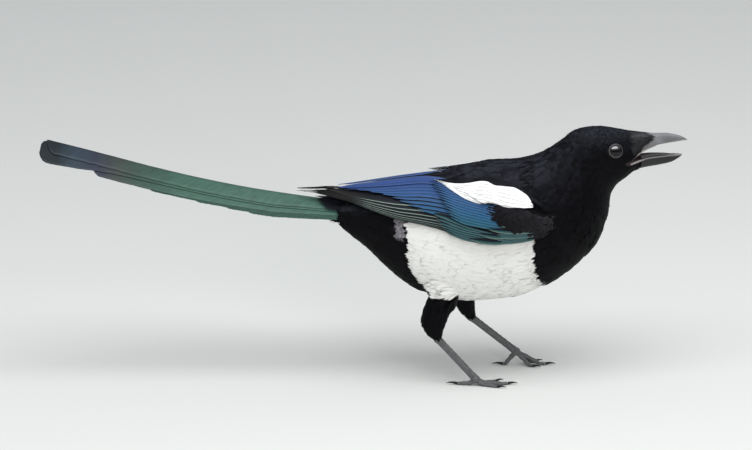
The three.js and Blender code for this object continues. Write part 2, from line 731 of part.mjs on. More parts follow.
function toeLine(leg, toe) {
  const side = leg === "left" ? -1 : 1;
  const { heading, length, radius } = TOES[toe];
  const turn = rad(heading * side);
  const root = new THREE.Vector3(...FOOT[leg]);
  const out = new THREE.Vector3(Math.cos(turn), Math.sin(turn), 0);
  const endRadius = radius * TOE_TIP;
  const drop = root.z - endRadius * 0.85;
  const flat = Math.sqrt(Math.max(length ** 2 - drop ** 2, 1));
  const end = root.clone().addScaledVector(out, flat);
  end.z = endRadius * 0.85;
  return { root, end, out, endRadius };
}

const onFloor = (rings) => rings.map((ring) => ring.map((p) => p.setZ(Math.max(p.z, 0))));

function toeSolid(leg, toe) {
  const { root, end, endRadius } = toeLine(leg, toe);
  const { radius } = TOES[toe];
  const rows = [0, 0.3, 0.6, 0.85, 1].map((f) => {
    const p = root.clone().lerp(end, f);
    const flatZ = lerp(radius, endRadius, f) * 0.85;
    p.z = lerp(root.z, flatZ, Math.min(1, f * (leg === "right" ? 3 : 1.2)));
    const r = lerp(radius, endRadius, f);
    return [p.x, p.y, p.z, r, r];
  });
  return loft(onFloor(tubeRings(rows, 7, 1)));
}

function clawSolid(leg, toe) {
  const { end, out, endRadius } = toeLine(leg, toe);
  const { claw } = TOES[toe];
  const rows = [0, 0.35, 0.7, 1].map((f) => {
    const p = end.clone().addScaledVector(out, GAP + claw * f * 0.92);
    p.z = endRadius * 0.85 + 1.1 * Math.sin(f * 2.4) - 0.5 * f;
    const r = endRadius * lerp(0.95, 0.16, f ** 1.2);
    return [p.x, p.y, Math.max(p.z, r), r, r * 0.8];
  });
  return loft(onFloor(tubeRings(rows, 6, 1)));
}

const tailCoverts = TAIL_COVERTS.map((covert) => bodyVane(tailPoint, { root: 4, ...covert }));
addNode("torso", joined([torso, mantle(), ...tailCoverts]), "black");
addNode("neck", neck, "black");
const bristles = BRISTLES.flatMap(([angle, tip]) => [bristle(angle, tip, 1), bristle(angle, tip, -1)]);
addNode("head", joined([head, ...bristles]), "black");
addNode("bill_upper", billHalf(UPPER_BILL), "bill_black");
addNode("bill_lower", billHalf(LOWER_BILL), "bill_black");
addNode("tongue", tongue(), "mouth");
const wing = featheredWing().subtract(grownTorso);
addNode("wing_right", wing, "wing_blue");
addNode("wing_left", mirrored(wing), "wing_blue");
const scapulars = featheredScapulars().subtract(grownTorso);
addNode("scapulars_right", scapulars, "white");
addNode("scapulars_left", mirrored(scapulars), "white");
addNode("tail", featheredTail(), "tail_green");
for (const leg of ["right", "left"]) {
  const socket = shank(leg, GAP);
  const sleeve = loft(tubeRings(THIGH[leg], 12, 1));
  addNode(`thigh_${leg}`, sleeve.subtract(grownTorso).subtract(socket), "black");
  addNode(`tarsus_${leg}`, shank(leg), "leg_grey");
  const toes = joined(Object.keys(TOES).map((toe) => toeSolid(leg, toe)));
  const foot = toes.add(ball(new THREE.Vector3(...FOOT[leg]), 3.2, 10, 6));
  addNode(`foot_${leg}`, foot.subtract(socket), "leg_grey");
  for (const toe of Object.keys(TOES)) addNode(`claw_${toe}_${leg}`, clawSolid(leg, toe), "claw_black");
}

export default bird;
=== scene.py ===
import math

import bmesh
import bpy
import numpy as np
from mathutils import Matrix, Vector


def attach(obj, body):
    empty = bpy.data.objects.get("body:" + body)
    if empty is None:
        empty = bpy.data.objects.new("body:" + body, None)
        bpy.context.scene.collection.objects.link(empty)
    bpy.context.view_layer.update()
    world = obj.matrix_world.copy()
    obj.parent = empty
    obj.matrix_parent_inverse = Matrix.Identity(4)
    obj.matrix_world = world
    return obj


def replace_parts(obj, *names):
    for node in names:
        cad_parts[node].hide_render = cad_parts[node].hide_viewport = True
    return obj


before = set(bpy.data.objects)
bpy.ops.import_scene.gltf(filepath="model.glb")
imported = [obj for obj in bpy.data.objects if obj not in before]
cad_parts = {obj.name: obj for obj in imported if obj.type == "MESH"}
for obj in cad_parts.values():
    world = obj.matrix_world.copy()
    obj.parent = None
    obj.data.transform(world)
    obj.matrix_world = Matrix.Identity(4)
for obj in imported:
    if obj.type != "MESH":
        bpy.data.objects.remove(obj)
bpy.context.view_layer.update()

# The view. The bird stands side on, and is looked down on a little, from some metres away through a
# long lens. A pixel of the picture is 0.72 mm at the bird.
MM = 0.001
PIXEL = 0.72 * MM
EYE_LEVEL = math.radians(18)
DISTANCE = 4.0
AIM = Vector((8.3 * MM, 0, 114.7 * MM))
PICTURE_WIDTH = 752
SENSOR = 36


def link_object(name, data):
    """A named object at the origin, in the scene."""
    thing = bpy.data.objects.new(name, data)
    bpy.context.scene.collection.objects.link(thing)
    return thing


def aim_at(thing, place, target):
    thing.location = place
    thing.rotation_euler = (target - place).to_track_quat("-Z", "Y").to_euler()


def add_camera():
    data = bpy.data.cameras.new("camera")
    data.sensor_width = SENSOR
    data.lens = SENSOR * DISTANCE / (PICTURE_WIDTH * PIXEL)
    data.clip_end = 50
    camera = link_object("camera", data)
    back = Vector((0, -math.cos(EYE_LEVEL), math.sin(EYE_LEVEL)))
    aim_at(camera, AIM + back * DISTANCE, AIM)
    bpy.context.scene.camera = camera


def add_light(name, place, wide, deep, power, colour, mirrored):
    """A soft oval light; it shows in shiny surfaces where mirrored is true."""
    data = bpy.data.lights.new(name, "AREA")
    data.shape = "ELLIPSE"
    data.size, data.size_y = wide, deep
    data.energy = power
    data.color = colour
    light = link_object(name, data)
    light.visible_glossy = mirrored
    aim_at(light, Vector(place), AIM)


def split(tree, vector):
    """The x, y and z of a vector, as sockets."""
    parts = tree.nodes.new("ShaderNodeSeparateXYZ")
    tree.links.new(vector, parts.inputs[0])
    return parts.outputs


def add_ramp(tree, factor, stops):
    """Colours by a factor, through stops of position and colour."""
    ramp = tree.nodes.new("ShaderNodeValToRGB")
    tree.links.new(factor, ramp.inputs[0])
    elements = ramp.color_ramp.elements
    while len(elements) < len(stops):
        elements.new(0.5)
    for element, (position, colour) in zip(elements, stops):
        element.position = position
        element.color = (*colour, 1)
    return ramp.outputs[0]


add_camera()
add_light("sky_light", (0.1, -0.5, 1.5), 2.6, 0.95, 21, (0.97, 0.99, 1), True)
add_light("front_light", (0.7, -1.6, 0.7), 0.9, 0.9, 12, (1, 0.98, 0.95), False)


def add_sky():
    """A soft box overhead: the sky is bright above and dim towards the level of the floor."""
    world = bpy.data.worlds.new("studio")
    world.use_nodes = True
    tree = world.node_tree
    height = split(tree, tree.nodes.new("ShaderNodeTexCoord").outputs["Generated"])[2]
    colour = add_ramp(tree, height, ((0.25, (0.1, 0.105, 0.11)), (0.8, (0.93, 0.97, 1))))
    tree.links.new(colour, tree.nodes["Background"].inputs["Color"])
    tree.nodes["Background"].inputs["Strength"].default_value = 0.72
    bpy.context.scene.world = world


add_sky()
bpy.context.scene.view_settings.view_transform = "Standard"

# The floor is a plain pale sheet of studio paper, a hair below the feet. It only carries the bird's
# shadow and is no part of it.
FLOOR_REACH, FLOOR_LEVEL = 3000, -0.1


def face_outwards(mesh, merge=False):
    """Turns every closed shell's faces outwards, after its doubles are merged where merge is true."""
    made = bmesh.new()
    made.from_mesh(mesh)
    if merge:
        bmesh.ops.remove_doubles(made, verts=made.verts, dist=1e-7)
    bmesh.ops.recalc_face_normals(made, faces=made.faces)
    made.to_mesh(mesh)
    made.free()


def mesh_object(name, points, faces):
    """A smooth object at the origin from points in millimetres and faces."""
    mesh = bpy.data.meshes.new(name)
    mesh.from_pydata((np.asarray(points, float) * MM).tolist(), [], [list(map(int, f)) for f in faces])
    mesh.validate()
    face_outwards(mesh, merge=True)
    mesh.shade_smooth()
    return link_object(name, mesh)


def new_finish(name, roughness, specular=0.5):
    """A material of even roughness and shine, with its node tree and its shader."""
    material = bpy.data.materials.new(name)
    material.use_nodes = True
    tree = material.node_tree
    shader = tree.nodes["Principled BSDF"]
    shader.inputs["Roughness"].default_value = roughness
    shader.inputs["Specular IOR Level"].default_value = specular
    return material, tree, shader


def make_floor():
    around = ((-1, -1), (1, -1), (1, 1), (-1, 1))
    corners = [(x * FLOOR_REACH, y * FLOOR_REACH, FLOOR_LEVEL) for x, y in around]
    floor = mesh_object("floor", corners, [(0, 1, 2, 3)])
    material, _, shader = new_finish("floor_paper", 0.9, 0.2)
    shader.inputs["Base Color"].default_value = (0.72, 0.72, 0.7, 1)
    floor.data.materials.append(material)


make_floor()

# The flesh: torso, neck, head and the feathered shins as one skin, which the coat of small feathers
# grows from. It lies inside the coat's outer surface by the coat's depth, and is cut for mouth and eyes.
# Each station has the top x and z, the bottom x and z, the half width, the level of the widest place,
# the section's squareness, and the coat's depth.
BODY = np.array([
    [-14, 135, -14, 112, 14.5, 0.5, 0.85, 0.7],
    [5.4, 141, 2.5, 97, 18, 0.52, 0.9, 1.0],
    [27, 145.5, 21.2, 79, 24, 0.52, 0.9, 1.2],
    [48.6, 150, 41.4, 65.7, 30, 0.5, 0.86, 1.2],
    [70.2, 158.6, 65.2, 60.3, 33.5, 0.5, 0.86, 1.2],
    [90.4, 162.3, 90.4, 60.4, 35, 0.5, 0.88, 1.1],
    [109.1, 164.3, 119.2, 65.8, 35.5, 0.48, 0.92, 1.1],
    [122, 167.6, 144.4, 79.3, 32.5, 0.47, 0.95, 1.0],
    [132.1, 172.4, 166.7, 101.6, 27, 0.46, 1, 0.9],
    [140.8, 178.8, 175.3, 124.1, 21.5, 0.46, 1, 0.9],
    [149.4, 185.2, 177.5, 138.3, 18, 0.47, 1, 0.8],
    [158, 188.3, 181.8, 146, 16.5, 0.48, 1, 0.7],
    [169.6, 189, 187.8, 151.1, 15.5, 0.48, 1, 0.55],
    [181.1, 187.4, 193.3, 155.6, 12.6, 0.46, 1, 0.4],
    [191.2, 185.6, 196.2, 156.8, 9, 0.45, 0.98, 0.3],
    [199.8, 184.4, 197.6, 157.3, 6.2, 0.45, 0.95, 0.2],
])
LAST = len(BODY) - 1
# Rows down each shin: x, y, z, half depth and half width
SHIN = {
    "right": np.array([
        [59, -17, 84, 14, 11], [57.5, -17.5, 70, 12, 10.5], [55, -18, 62, 10.5, 9.5],
        [52.2, -18.5, 55, 9.6, 8.6], [50.4, -19, 48, 9.2, 7.6], [50.9, -19.5, 41.5, 7, 6],
        [52.4, -20, 37, 4.4, 4], [53.3, -20, 34.6, 3, 2.9],
    ]),
    "left": np.array([
        [70, 16, 84, 14, 11], [70, 16.5, 70, 12, 10.5], [71, 17, 60, 10, 9], [72.3, 17.5, 52, 8, 7.6],
        [74.4, 18, 45.5, 6, 6], [76.6, 18, 41, 4.2, 4.2], [77.6, 18, 38.6, 3, 2.9],
    ]),
}
MOUTH = [(189.3, 164.9), (203, 166.6), (203, 174.8)]
GAPE = np.array([(200, 165.7), (194.6, 164.5), (191, 164), (188.5, 164.3)])
EYE = {"station": 12.35, "angle": 74, "radius": 5.5, "depth": 3.9}


def along(rows, t):
    """Catmull-Rom values at the fractional indices t of a table's rows."""
    t = np.clip(np.asarray(t, float), 0, len(rows) - 1)
    i = np.minimum(t.astype(int), len(rows) - 2)
    f = (t - i)[..., None]
    b, c = rows[i], rows[i + 1]
    a = np.where((i > 0)[..., None], rows[np.maximum(i - 1, 0)], 2 * b - c)
    d = np.where((i + 2 < len(rows))[..., None], rows[np.minimum(i + 2, len(rows) - 1)], 2 * c - b)
    return b + 0.5 * f * (c - a + f * (2 * a - 5 * b + 4 * c - d + f * (3 * (b - c) + d - a)))


def body_point(t, angle):
    """Outer surface of the coat, at station t and angle from the back over the left side."""
    row = along(BODY, t)
    top = np.stack([row[..., 0], 0 * row[..., 0], row[..., 1]], -1)
    bottom = np.stack([row[..., 2], 0 * row[..., 0], row[..., 3]], -1)
    centre = bottom + (top - bottom) * row[..., 5:6]
    square = row[..., 6]
    rise = np.sign(np.cos(angle)) * np.abs(np.cos(angle)) ** square
    side = np.sign(np.sin(angle)) * np.abs(np.sin(angle)) ** square
    point = centre + np.where(rise[..., None] >= 0, top - centre, bottom - centre) * np.abs(rise)[..., None]
    point[..., 1] = row[..., 4] * side
    return point


def unit(v):
    return v / np.maximum(np.linalg.norm(v, axis=-1, keepdims=True), 1e-12)


def body_normal(t, angle):
    around = body_point(t, angle + 0.02) - body_point(t, angle - 0.02)
    forward = body_point(t + 0.02, angle) - body_point(t - 0.02, angle)
    return unit(np.cross(forward, around))


def loft(rings, closed_ends=True):
    """Points and faces through rings of equally many points."""
    count = len(rings[0])
    points = np.concatenate(rings)
    faces = []
    for r in range(len(rings) - 1):
        for i in range(count):
            j = (i + 1) % count
            faces.append((r * count + i, r * count + j, (r + 1) * count + j, (r + 1) * count + i))
    if closed_ends:
        points = np.concatenate([points, rings[0].mean(0)[None], rings[-1].mean(0)[None]])
        end = (len(rings) - 1) * count
        for i in range(count):
            j = (i + 1) % count
            faces.append((j, i, len(points) - 2))
            faces.append((end + i, end + j, len(points) - 1))
    return points, faces


def tube_rings(rows, steps, sides, shape=None):
    """Rings round a line of rows (x, y, z, half depth, half width); shape may change each ring."""
    rows = np.asarray(rows, float)
    t = np.linspace(0, len(rows) - 1, steps)
    row = along(rows, t)
    ahead = unit(along(rows, t + 0.05)[:, :3] - along(rows, t - 0.05)[:, :3])
    aside = unit(np.array([0, 1, 0]) - ahead * ahead[:, 1:2])
    back = np.cross(aside, ahead)
    angle = np.linspace(0, 2 * math.pi, sides, endpoint=False)
    rings = []
    for i in range(steps):
        depth, width = row[i, 3], row[i, 4]
        wide, deep = np.sin(angle) * width, np.cos(angle) * depth
        if shape is not None:
            wide, deep = shape(t[i] / (len(rows) - 1), angle, wide, deep)
        rings.append(row[i, :3] + back[i] * deep[:, None] + aside[i] * wide[:, None])
    return rings


def merged(parts):
    """Points and faces of several lofts as one list."""
    points, faces, start = [], [], 0
    for p, f in parts:
        points.append(p)
        faces += [tuple(i + start for i in face) for face in f]
        start += len(p)
    return np.concatenate(points), faces


def plain_mesh(thing):
    """The object's mesh with its modifiers worked in."""
    bpy.context.view_layer.update()
    return bpy.data.meshes.new_from_object(thing.evaluated_get(bpy.context.evaluated_depsgraph_get()))


def apply_all(thing):
    """Works the object's modifiers into its mesh."""
    old, thing.data = thing.data, plain_mesh(thing)
    thing.modifiers.clear()
    thing.data.name = thing.name
    bpy.data.meshes.remove(old)


def eye_place(side):
    station, angle = np.array(EYE["station"]), np.array(side * math.radians(EYE["angle"]))
    normal = body_normal(station, angle)
    return body_point(station, angle) - normal * EYE["depth"], normal


def ball(centre, radius, around=32, high=20):
    rings = []
    for i in range(1, high):
        turn = math.pi * i / high
        a = np.linspace(0, 2 * math.pi, around, endpoint=False)
        rings.append(centre + radius * np.stack([np.cos(a) * math.sin(turn), np.sin(a) * math.sin(turn),
                                                 0 * a + math.cos(turn)], -1))
    return loft(rings)


def make_skin():
    angle = np.linspace(0, 2 * math.pi, 96, endpoint=False)
    rings = []
    for t in np.linspace(0, LAST, 190):
        depth = along(BODY, t)[7]
        rings.append(body_point(np.full(96, t), angle) - body_normal(np.full(96, t), angle) * depth)
    parts = [loft(rings)]
    for rows in SHIN.values():
        thin = rows.copy()
        thin[:, 3:] -= np.linspace(0.9, 0.3, len(rows))[:, None]
        parts.append(loft(tube_rings(thin, 50, 32)))
    skin = mesh_object("skin", *merged(parts))
    remesh = skin.modifiers.new("one_skin", "REMESH")
    remesh.mode = "VOXEL"
    remesh.voxel_size = 1.0 * MM
    smooth = skin.modifiers.new("soft_joins", "SMOOTH")
    smooth.iterations = 5
    outline = [(x, y, z) for y in (-20, 20) for x, z in MOUTH]
    wedge = (np.array(outline, float), [(0, 1, 2), (3, 5, 4), (0, 3, 4, 1), (1, 4, 5, 2), (2, 5, 3, 0)])
    sockets = [ball(eye_place(side)[0], EYE["radius"] + 0.25) for side in (1, -1)]
    cutter = mesh_object("openings", *merged([wedge, *sockets]))
    apply_all(skin)
    cut = skin.modifiers.new("mouth_and_eyes", "BOOLEAN")
    cut.operation = "DIFFERENCE"
    cut.solver = "EXACT"
    cut.object = cutter
    apply_all(skin)
    bpy.data.objects.remove(cutter)
    skin.data.shade_smooth()
    return skin


def pull(items, field, kind=np.float32):
    """A field of every item: single numbers, or rows of three for places and vectors."""
    width = 3 if field in ("co", "normal", "vector") else 1
    values = np.empty(len(items) * width, kind)
    items.foreach_get(field, values)
    return values.reshape(-1, 3).astype(float) if width == 3 else values


def vertices(thing):
    return pull(thing.data.vertices, "co") / MM


def normals(thing):
    return pull(thing.data.vertices, "normal")


def body_place(points):
    """The station t and the angle of each point."""
    t = np.linspace(-0.5, LAST + 0.5, 640)
    row = along(BODY, t)
    best_t = np.zeros(len(points))
    top, down = row[:, 0:2], row[:, 2:4] - row[:, 0:2]
    for start in range(0, len(points), 4000):
        p = points[start:start + 4000][:, [0, 2]]
        off = (p[:, None, 0] - top[None, :, 0]) * down[None, :, 1]
        off = off - (p[:, None, 1] - top[None, :, 1]) * down[None, :, 0]
        off = np.abs(off / np.linalg.norm(down, axis=1)[None])
        share = ((p[:, None, :] - top[None]) * down[None]).sum(2) / (down ** 2).sum(1)[None]
        off = off + 40 * np.clip(np.abs(share - 0.5) - 0.62, 0, None)
        best_t[start:start + 4000] = t[off.argmin(1)]
    best_t = np.clip(best_t, 0, LAST)
    row = along(BODY, best_t)
    centre = row[:, 2:4] + (row[:, 0:2] - row[:, 2:4]) * row[:, 5:6]
    up = unit(row[:, 0:2] - row[:, 2:4])
    rise = ((points[:, [0, 2]] - centre) * up).sum(1)
    reach = np.linalg.norm(row[:, 0:2] - row[:, 2:4], axis=1)
    reach = np.where(rise > 0, reach * (1 - row[:, 5]), reach * row[:, 5])
    return best_t, np.arctan2(points[:, 1] / row[:, 4], rise / reach)


def put_attributes(mesh, **values):
    """Numbers or vectors at every point of a mesh, by name."""
    for name, value in values.items():
        kind, field = ("FLOAT_VECTOR", "vector") if np.ndim(value) == 2 else ("FLOAT", "value")
        layer = mesh.attributes.new(name, kind, "POINT")
        layer.data.foreach_set(field, np.ascontiguousarray(value, np.float32).ravel())


def step(low, high, value):
    s = np.clip((value - low) / (high - low), 0, 1)
    return s * s * (3 - 2 * s)


# Markings, as places on the body in millimetres: the white belly between the bib and the vent, and the
# small grey patch at the side of the rump. Rows of z and x.
BIB_EDGE = np.array([[60, 134], [72, 132.5], [80, 127], [90, 123.5], [100, 122], [150, 121]])
VENT_EDGE = np.array([[58, 62], [62, 58], [66, 51], [79, 39], [87, 34], [95, 32], [105, 31.5], [150, 30.5]])


def whiteness(p):
    front = np.interp(p[:, 2], BIB_EDGE[:, 0], BIB_EDGE[:, 1])
    rear = np.interp(p[:, 2], VENT_EDGE[:, 0], VENT_EDGE[:, 1])
    return step(-0.8, 0.8, front - p[:, 0]) * step(-1.5, 1.5, p[:, 0] - rear) * step(132, 130, p[:, 2])


def rump_grey(p):
    """A small lilac-grey patch where the rump meets the flank, just behind the belly's white."""
    return step(20.5, 22, p[:, 0]) * step(28.5, 27, p[:, 0]) * step(111, 113, p[:, 2])


# How long the feathers are: station, millimetres
FEATHER_LENGTH = np.array([[0, 8], [1, 8.5], [2, 10], [4, 12], [6, 12], [7, 11], [8, 9], [9, 7.5], [10, 6],
                           [11, 4.6], [12, 3.4], [13, 2.6], [14, 2.1], [15, 1.8]])
# The eye's clearing in the coat, the rim of bare skin along the mouth, and the bill's root
LID_REACH, MOUTH_RIM = 5.6, 0.35
BARE_BILL_ROOT = 198.5


def over_line(p, start, end):
    """How far points lie above the line from start to end, seen from the side."""
    edge = unit(end - start)
    return (p[:, 0] - start[0]) * -edge[1] + (p[:, 2] - start[1]) * edge[0]


def dress_skin(skin):
    """Puts on the skin what the coat reads: the lie, the length, the markings and the place on its unwrap."""
    p, n = vertices(skin), normals(skin)
    t, angle = body_place(p)
    lie = body_point(t - 0.05, angle) - body_point(t + 0.05, angle)
    length = np.interp(t, FEATHER_LENGTH[:, 0], FEATHER_LENGTH[:, 1])
    shin = np.zeros(len(p))
    uv = np.stack([0.5 + angle / (2 * math.pi), 0.02 + 0.76 * t / LAST], -1)
    for k, rows in enumerate(SHIN.values()):
        line = along(rows, np.linspace(1, len(rows) - 1, 60))
        away = np.linalg.norm(p[:, None, :] - line[None, :, :3], axis=2)
        near = away.argmin(1)
        share = step(72, 60, p[:, 2]) * step(6, 2, away[np.arange(len(p)), near] - line[near, 3])
        down = np.gradient(line[:, :3], axis=0)[near]
        lie = unit(lie) * (1 - share[:, None]) + unit(down) * share[:, None]
        length = length * (1 - share) + share * np.interp(p[:, 2], [36, 50, 70], [3.2, 6, 8])
        shin = np.maximum(shin, share)
        turn = np.arctan2(p[:, 1] - line[near, 1], p[:, 0] - line[near, 0])
        on_leg = np.stack([0.25 + 0.5 * k + 0.2 * turn / math.pi, 0.8 + 0.19 * near / 60], -1)
        uv = np.where((share > 0.5)[:, None], on_leg, uv)
    bare = np.zeros(len(p))
    for side in (1, -1):
        centre, normal = eye_place(side)
        away = p - centre
        far = np.linalg.norm(away - normal * (away * normal).sum(1)[:, None], axis=1)
        same = (p[:, 1] * side > 0) & (t > 10)
        parted = unit(lie) + unit(away) * step(12, 5, far)[:, None] * 1.2
        lie = np.where((same & (far < 12))[:, None], parted, lie)
        bare = np.maximum(bare, np.where(same, step(LID_REACH, LID_REACH - 0.4, far), 0))
        length = np.where(same, length * (0.62 + 0.38 * step(5, 10, far)), length)
    corner, low, high = (np.array(c, float) for c in MOUTH)
    between = (over_line(p, corner, low) > -MOUTH_RIM) & (over_line(p, corner, high) < MOUTH_RIM)
    bare = np.maximum(bare, (between & (p[:, 0] > corner[0] - 1)).astype(float))
    bare = np.maximum(bare, step(BARE_BILL_ROOT, BARE_BILL_ROOT + 0.7, p[:, 0]))
    line = along(GAPE, np.linspace(0, len(GAPE) - 1, 40))
    bare = np.maximum(bare, step(2.0, 1.6, np.linalg.norm(p[:, None, [0, 2]] - line[None], axis=2).min(1)))
    lie = unit(lie - n * (lie * n).sum(1)[:, None])
    edges = [np.abs(p[:, 0] - np.interp(p[:, 2], *edge.T)) for edge in (BIB_EDGE, VENT_EDGE)]
    length = length * (1 - 0.5 * step(9, 3, np.minimum(*edges)) * step(2, 3, t))
    off_leg = 1 - step(0.08, 0.25, shin)
    tip = p + lie * length[:, None] * 0.62
    put_attributes(skin.data, lie=lie, skin_normal=n, length=length, shin=shin, bare=bare, station=t,
                   white=whiteness(p) * off_leg, feather_white=(whiteness(tip) * off_leg > 0.5) * 1.0,
                   feather_grey=rump_grey(tip), root_place=np.concatenate([uv, uv[:, :1] * 0], 1))
    return skin


skin = dress_skin(make_skin())

# Plumage materials. A feather is a horny shaft with barbs on both sides, black with a faint gloss on the
# head, breast, mantle and shins, a painted bluish sheen where the body faces up, and plain white on the
# belly.


def add_math(tree, operation, a, b=None, c=None, clamp=False):
    node = tree.nodes.new("ShaderNodeMath")
    node.operation = operation
    node.use_clamp = clamp
    for socket, value in zip(node.inputs, (a, b, c)):
        if isinstance(value, (int, float)):
            socket.default_value = value
        elif value is not None:
            tree.links.new(value, socket)
    return node.outputs[0]


def add_mix(tree, factor, a, b):
    node = tree.nodes.new("ShaderNodeMix")
    node.data_type = "RGBA"
    for socket, value in ((node.inputs[0], factor), (node.inputs[6], a), (node.inputs[7], b)):
        if isinstance(value, tuple):
            socket.default_value = (*value, 1)
        elif isinstance(value, (int, float)):
            socket.default_value = value
        else:
            tree.links.new(value, socket)
    return node.outputs[2]


def attribute(tree, name, output="Fac"):
    node = tree.nodes.new("ShaderNodeAttribute")
    node.attribute_name = name
    return node.outputs[output]


def object_place(tree):
    return tree.nodes.new("ShaderNodeTexCoord").outputs["Object"]


def add_noise(tree, scale, detail=2, place=None):
    node = tree.nodes.new("ShaderNodeTexNoise")
    node.inputs["Scale"].default_value = scale
    node.inputs["Detail"].default_value = detail
    tree.links.new(place or object_place(tree), node.inputs["Vector"])
    return node.outputs[0]


def paint(tree, colour, shader):
    tree.links.new(colour, shader.inputs["Base Color"])


def make_barbs_group():
    """Barbs: fine ridges that slant from the shaft to the edge, with the shaft and their colour streaks."""
    group = bpy.data.node_groups.new("feather_barbs", "ShaderNodeTree")
    for name, value in (("Along", 0), ("Across", 0), ("Rows", 60), ("Slant", 12)):
        group.interface.new_socket(name, in_out="INPUT", socket_type="NodeSocketFloat").default_value = value
    for name in ("Ridges", "Shaft", "Streaks"):
        group.interface.new_socket(name, in_out="OUTPUT", socket_type="NodeSocketFloat")
    given = group.nodes.new("NodeGroupInput").outputs
    result = group.nodes.new("NodeGroupOutput").inputs
    side = add_math(group, "ABSOLUTE", given["Across"])
    phase = add_math(group, "SUBTRACT", add_math(group, "MULTIPLY", given["Along"], given["Rows"]),
                     add_math(group, "MULTIPLY", side, given["Slant"]))
    wave = add_math(group, "SINE", add_math(group, "MULTIPLY", phase, 2 * math.pi))
    place = group.nodes.new("ShaderNodeCombineXYZ")
    group.links.new(add_math(group, "MULTIPLY", phase, 0.22), place.inputs[0])
    group.links.new(add_math(group, "MULTIPLY", side, 0.6), place.inputs[1])
    shaft = add_math(group, "SUBTRACT", 1, add_math(group, "MULTIPLY", side, 16), clamp=True)
    for name, value in (("Ridges", add_math(group, "MULTIPLY_ADD", wave, 0.5, 0.5)), ("Shaft", shaft),
                        ("Streaks", add_noise(group, 3, 3, place.outputs[0]))):
        group.links.new(value, result[name])
    return group


barbs_group = make_barbs_group()


def add_barbs(tree, rows, slant):
    """The barbs' ridges, shaft and streaks on a vane, and the vane's own places along and across."""
    vane = split(tree, attribute(tree, "vane", "Vector"))
    node = tree.nodes.new("ShaderNodeGroup")
    node.node_tree = barbs_group
    node.inputs["Rows"].default_value = rows
    node.inputs["Slant"].default_value = slant
    tree.links.new(vane[0], node.inputs["Along"])
    tree.links.new(vane[1], node.inputs["Across"])
    return node.outputs["Ridges"], node.outputs["Shaft"], node.outputs["Streaks"], vane


def add_bump(tree, shader, height, strength, distance, base=None):
    bump = tree.nodes.new("ShaderNodeBump")
    bump.inputs["Strength"].default_value = strength
    bump.inputs["Distance"].default_value = distance
    tree.links.new(height, bump.inputs["Height"])
    if base is not None:
        tree.links.new(base, bump.inputs["Normal"])
    tree.links.new(bump.outputs[0], shader.inputs["Normal"])


BLACK = (0.0015, 0.0015, 0.002)
BLACK_SHEEN = (0.004, 0.004, 0.0055)
# Painted sheen: the bluish grey of the sky's reflection, painted on black feathers that face up
PAINTED_SKY_SHEEN = (0.03, 0.032, 0.045)
WHITE = (0.86, 0.86, 0.83)
WHITE_SHADE = (0.72, 0.73, 0.73)
RUMP_GREY = (0.36, 0.34, 0.38)
BARE_SKIN = (0.03, 0.022, 0.022)
SOFTNESS = 0.75


def soft_normal(tree):
    """The feather's normal turned most of the way to that of the body under it, as a soft coat shades."""
    surface = tree.nodes.new("ShaderNodeNewGeometry")
    blend = tree.nodes.new("ShaderNodeMix")
    blend.data_type = "VECTOR"
    blend.inputs[0].default_value = SOFTNESS
    tree.links.new(surface.outputs["Normal"], blend.inputs[4])
    tree.links.new(attribute(tree, "under", "Vector"), blend.inputs[5])
    even = tree.nodes.new("ShaderNodeVectorMath")
    even.operation = "NORMALIZE"
    tree.links.new(blend.outputs[1], even.inputs[0])
    return even.outputs[0]


def plumage_material():
    material, tree, shader = new_finish("plumage", 0.55, 0.07)
    ridges, _, streaks, _ = add_barbs(tree, 9, 3)
    gloss = add_math(tree, "MULTIPLY", attribute(tree, "tone"), streaks)
    black = add_mix(tree, gloss, BLACK, BLACK_SHEEN)
    # Painted sheen: the black turns bluish grey where the skin under the feather faces up
    upward = split(tree, attribute(tree, "under", "Vector"))[2]
    painted_sheen_share = add_math(tree, "MULTIPLY_ADD", upward, 1.1, -0.2, clamp=True)
    black = add_mix(tree, add_math(tree, "MULTIPLY", painted_sheen_share, gloss), black, PAINTED_SKY_SHEEN)
    white = add_mix(tree, add_math(tree, "MULTIPLY", streaks, 0.5), WHITE, WHITE_SHADE)
    speckle = add_math(tree, "MULTIPLY_ADD", streaks, 2.4, -0.7, clamp=True)
    grey = add_mix(tree, speckle, RUMP_GREY, BLACK)
    dark = add_mix(tree, attribute(tree, "feather_grey"), black, grey)
    is_white = add_math(tree, "GREATER_THAN", attribute(tree, "feather_white"), 0.5)
    paint(tree, add_mix(tree, is_white, dark, white), shader)
    add_bump(tree, shader, ridges, 0.2, 0.00006, soft_normal(tree))
    return material


def skin_material():
    material, tree, shader = new_finish("skin_down", 0.8, 0.1)
    grain = add_noise(tree, 900)
    coat = add_mix(tree, attribute(tree, "white"), add_mix(tree, grain, BLACK, BLACK_SHEEN),
                   add_mix(tree, grain, WHITE_SHADE, WHITE))
    paint(tree, add_mix(tree, attribute(tree, "bare"), coat, BARE_SKIN), shader)
    add_bump(tree, shader, grain, 0.4, 0.0003)
    return material


def fit(piece, slot, *nodes):
    """The piece rides on the body and stands for the nodes. The slot is not used."""
    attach(piece, "root")
    if nodes:
        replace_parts(piece, *nodes)
    return piece


skin.data.materials.clear()
skin_down = skin_material()
skin.data.materials.append(skin_down)
fit(skin, "body_feathers", "torso", "neck", "head", "thigh_right", "thigh_left")
plumage = plumage_material()

# The coat: small contour feathers in close rows, root under the one before, all lying back along the
# body. Each is a thin cupped vane whose barbs come apart at the end.


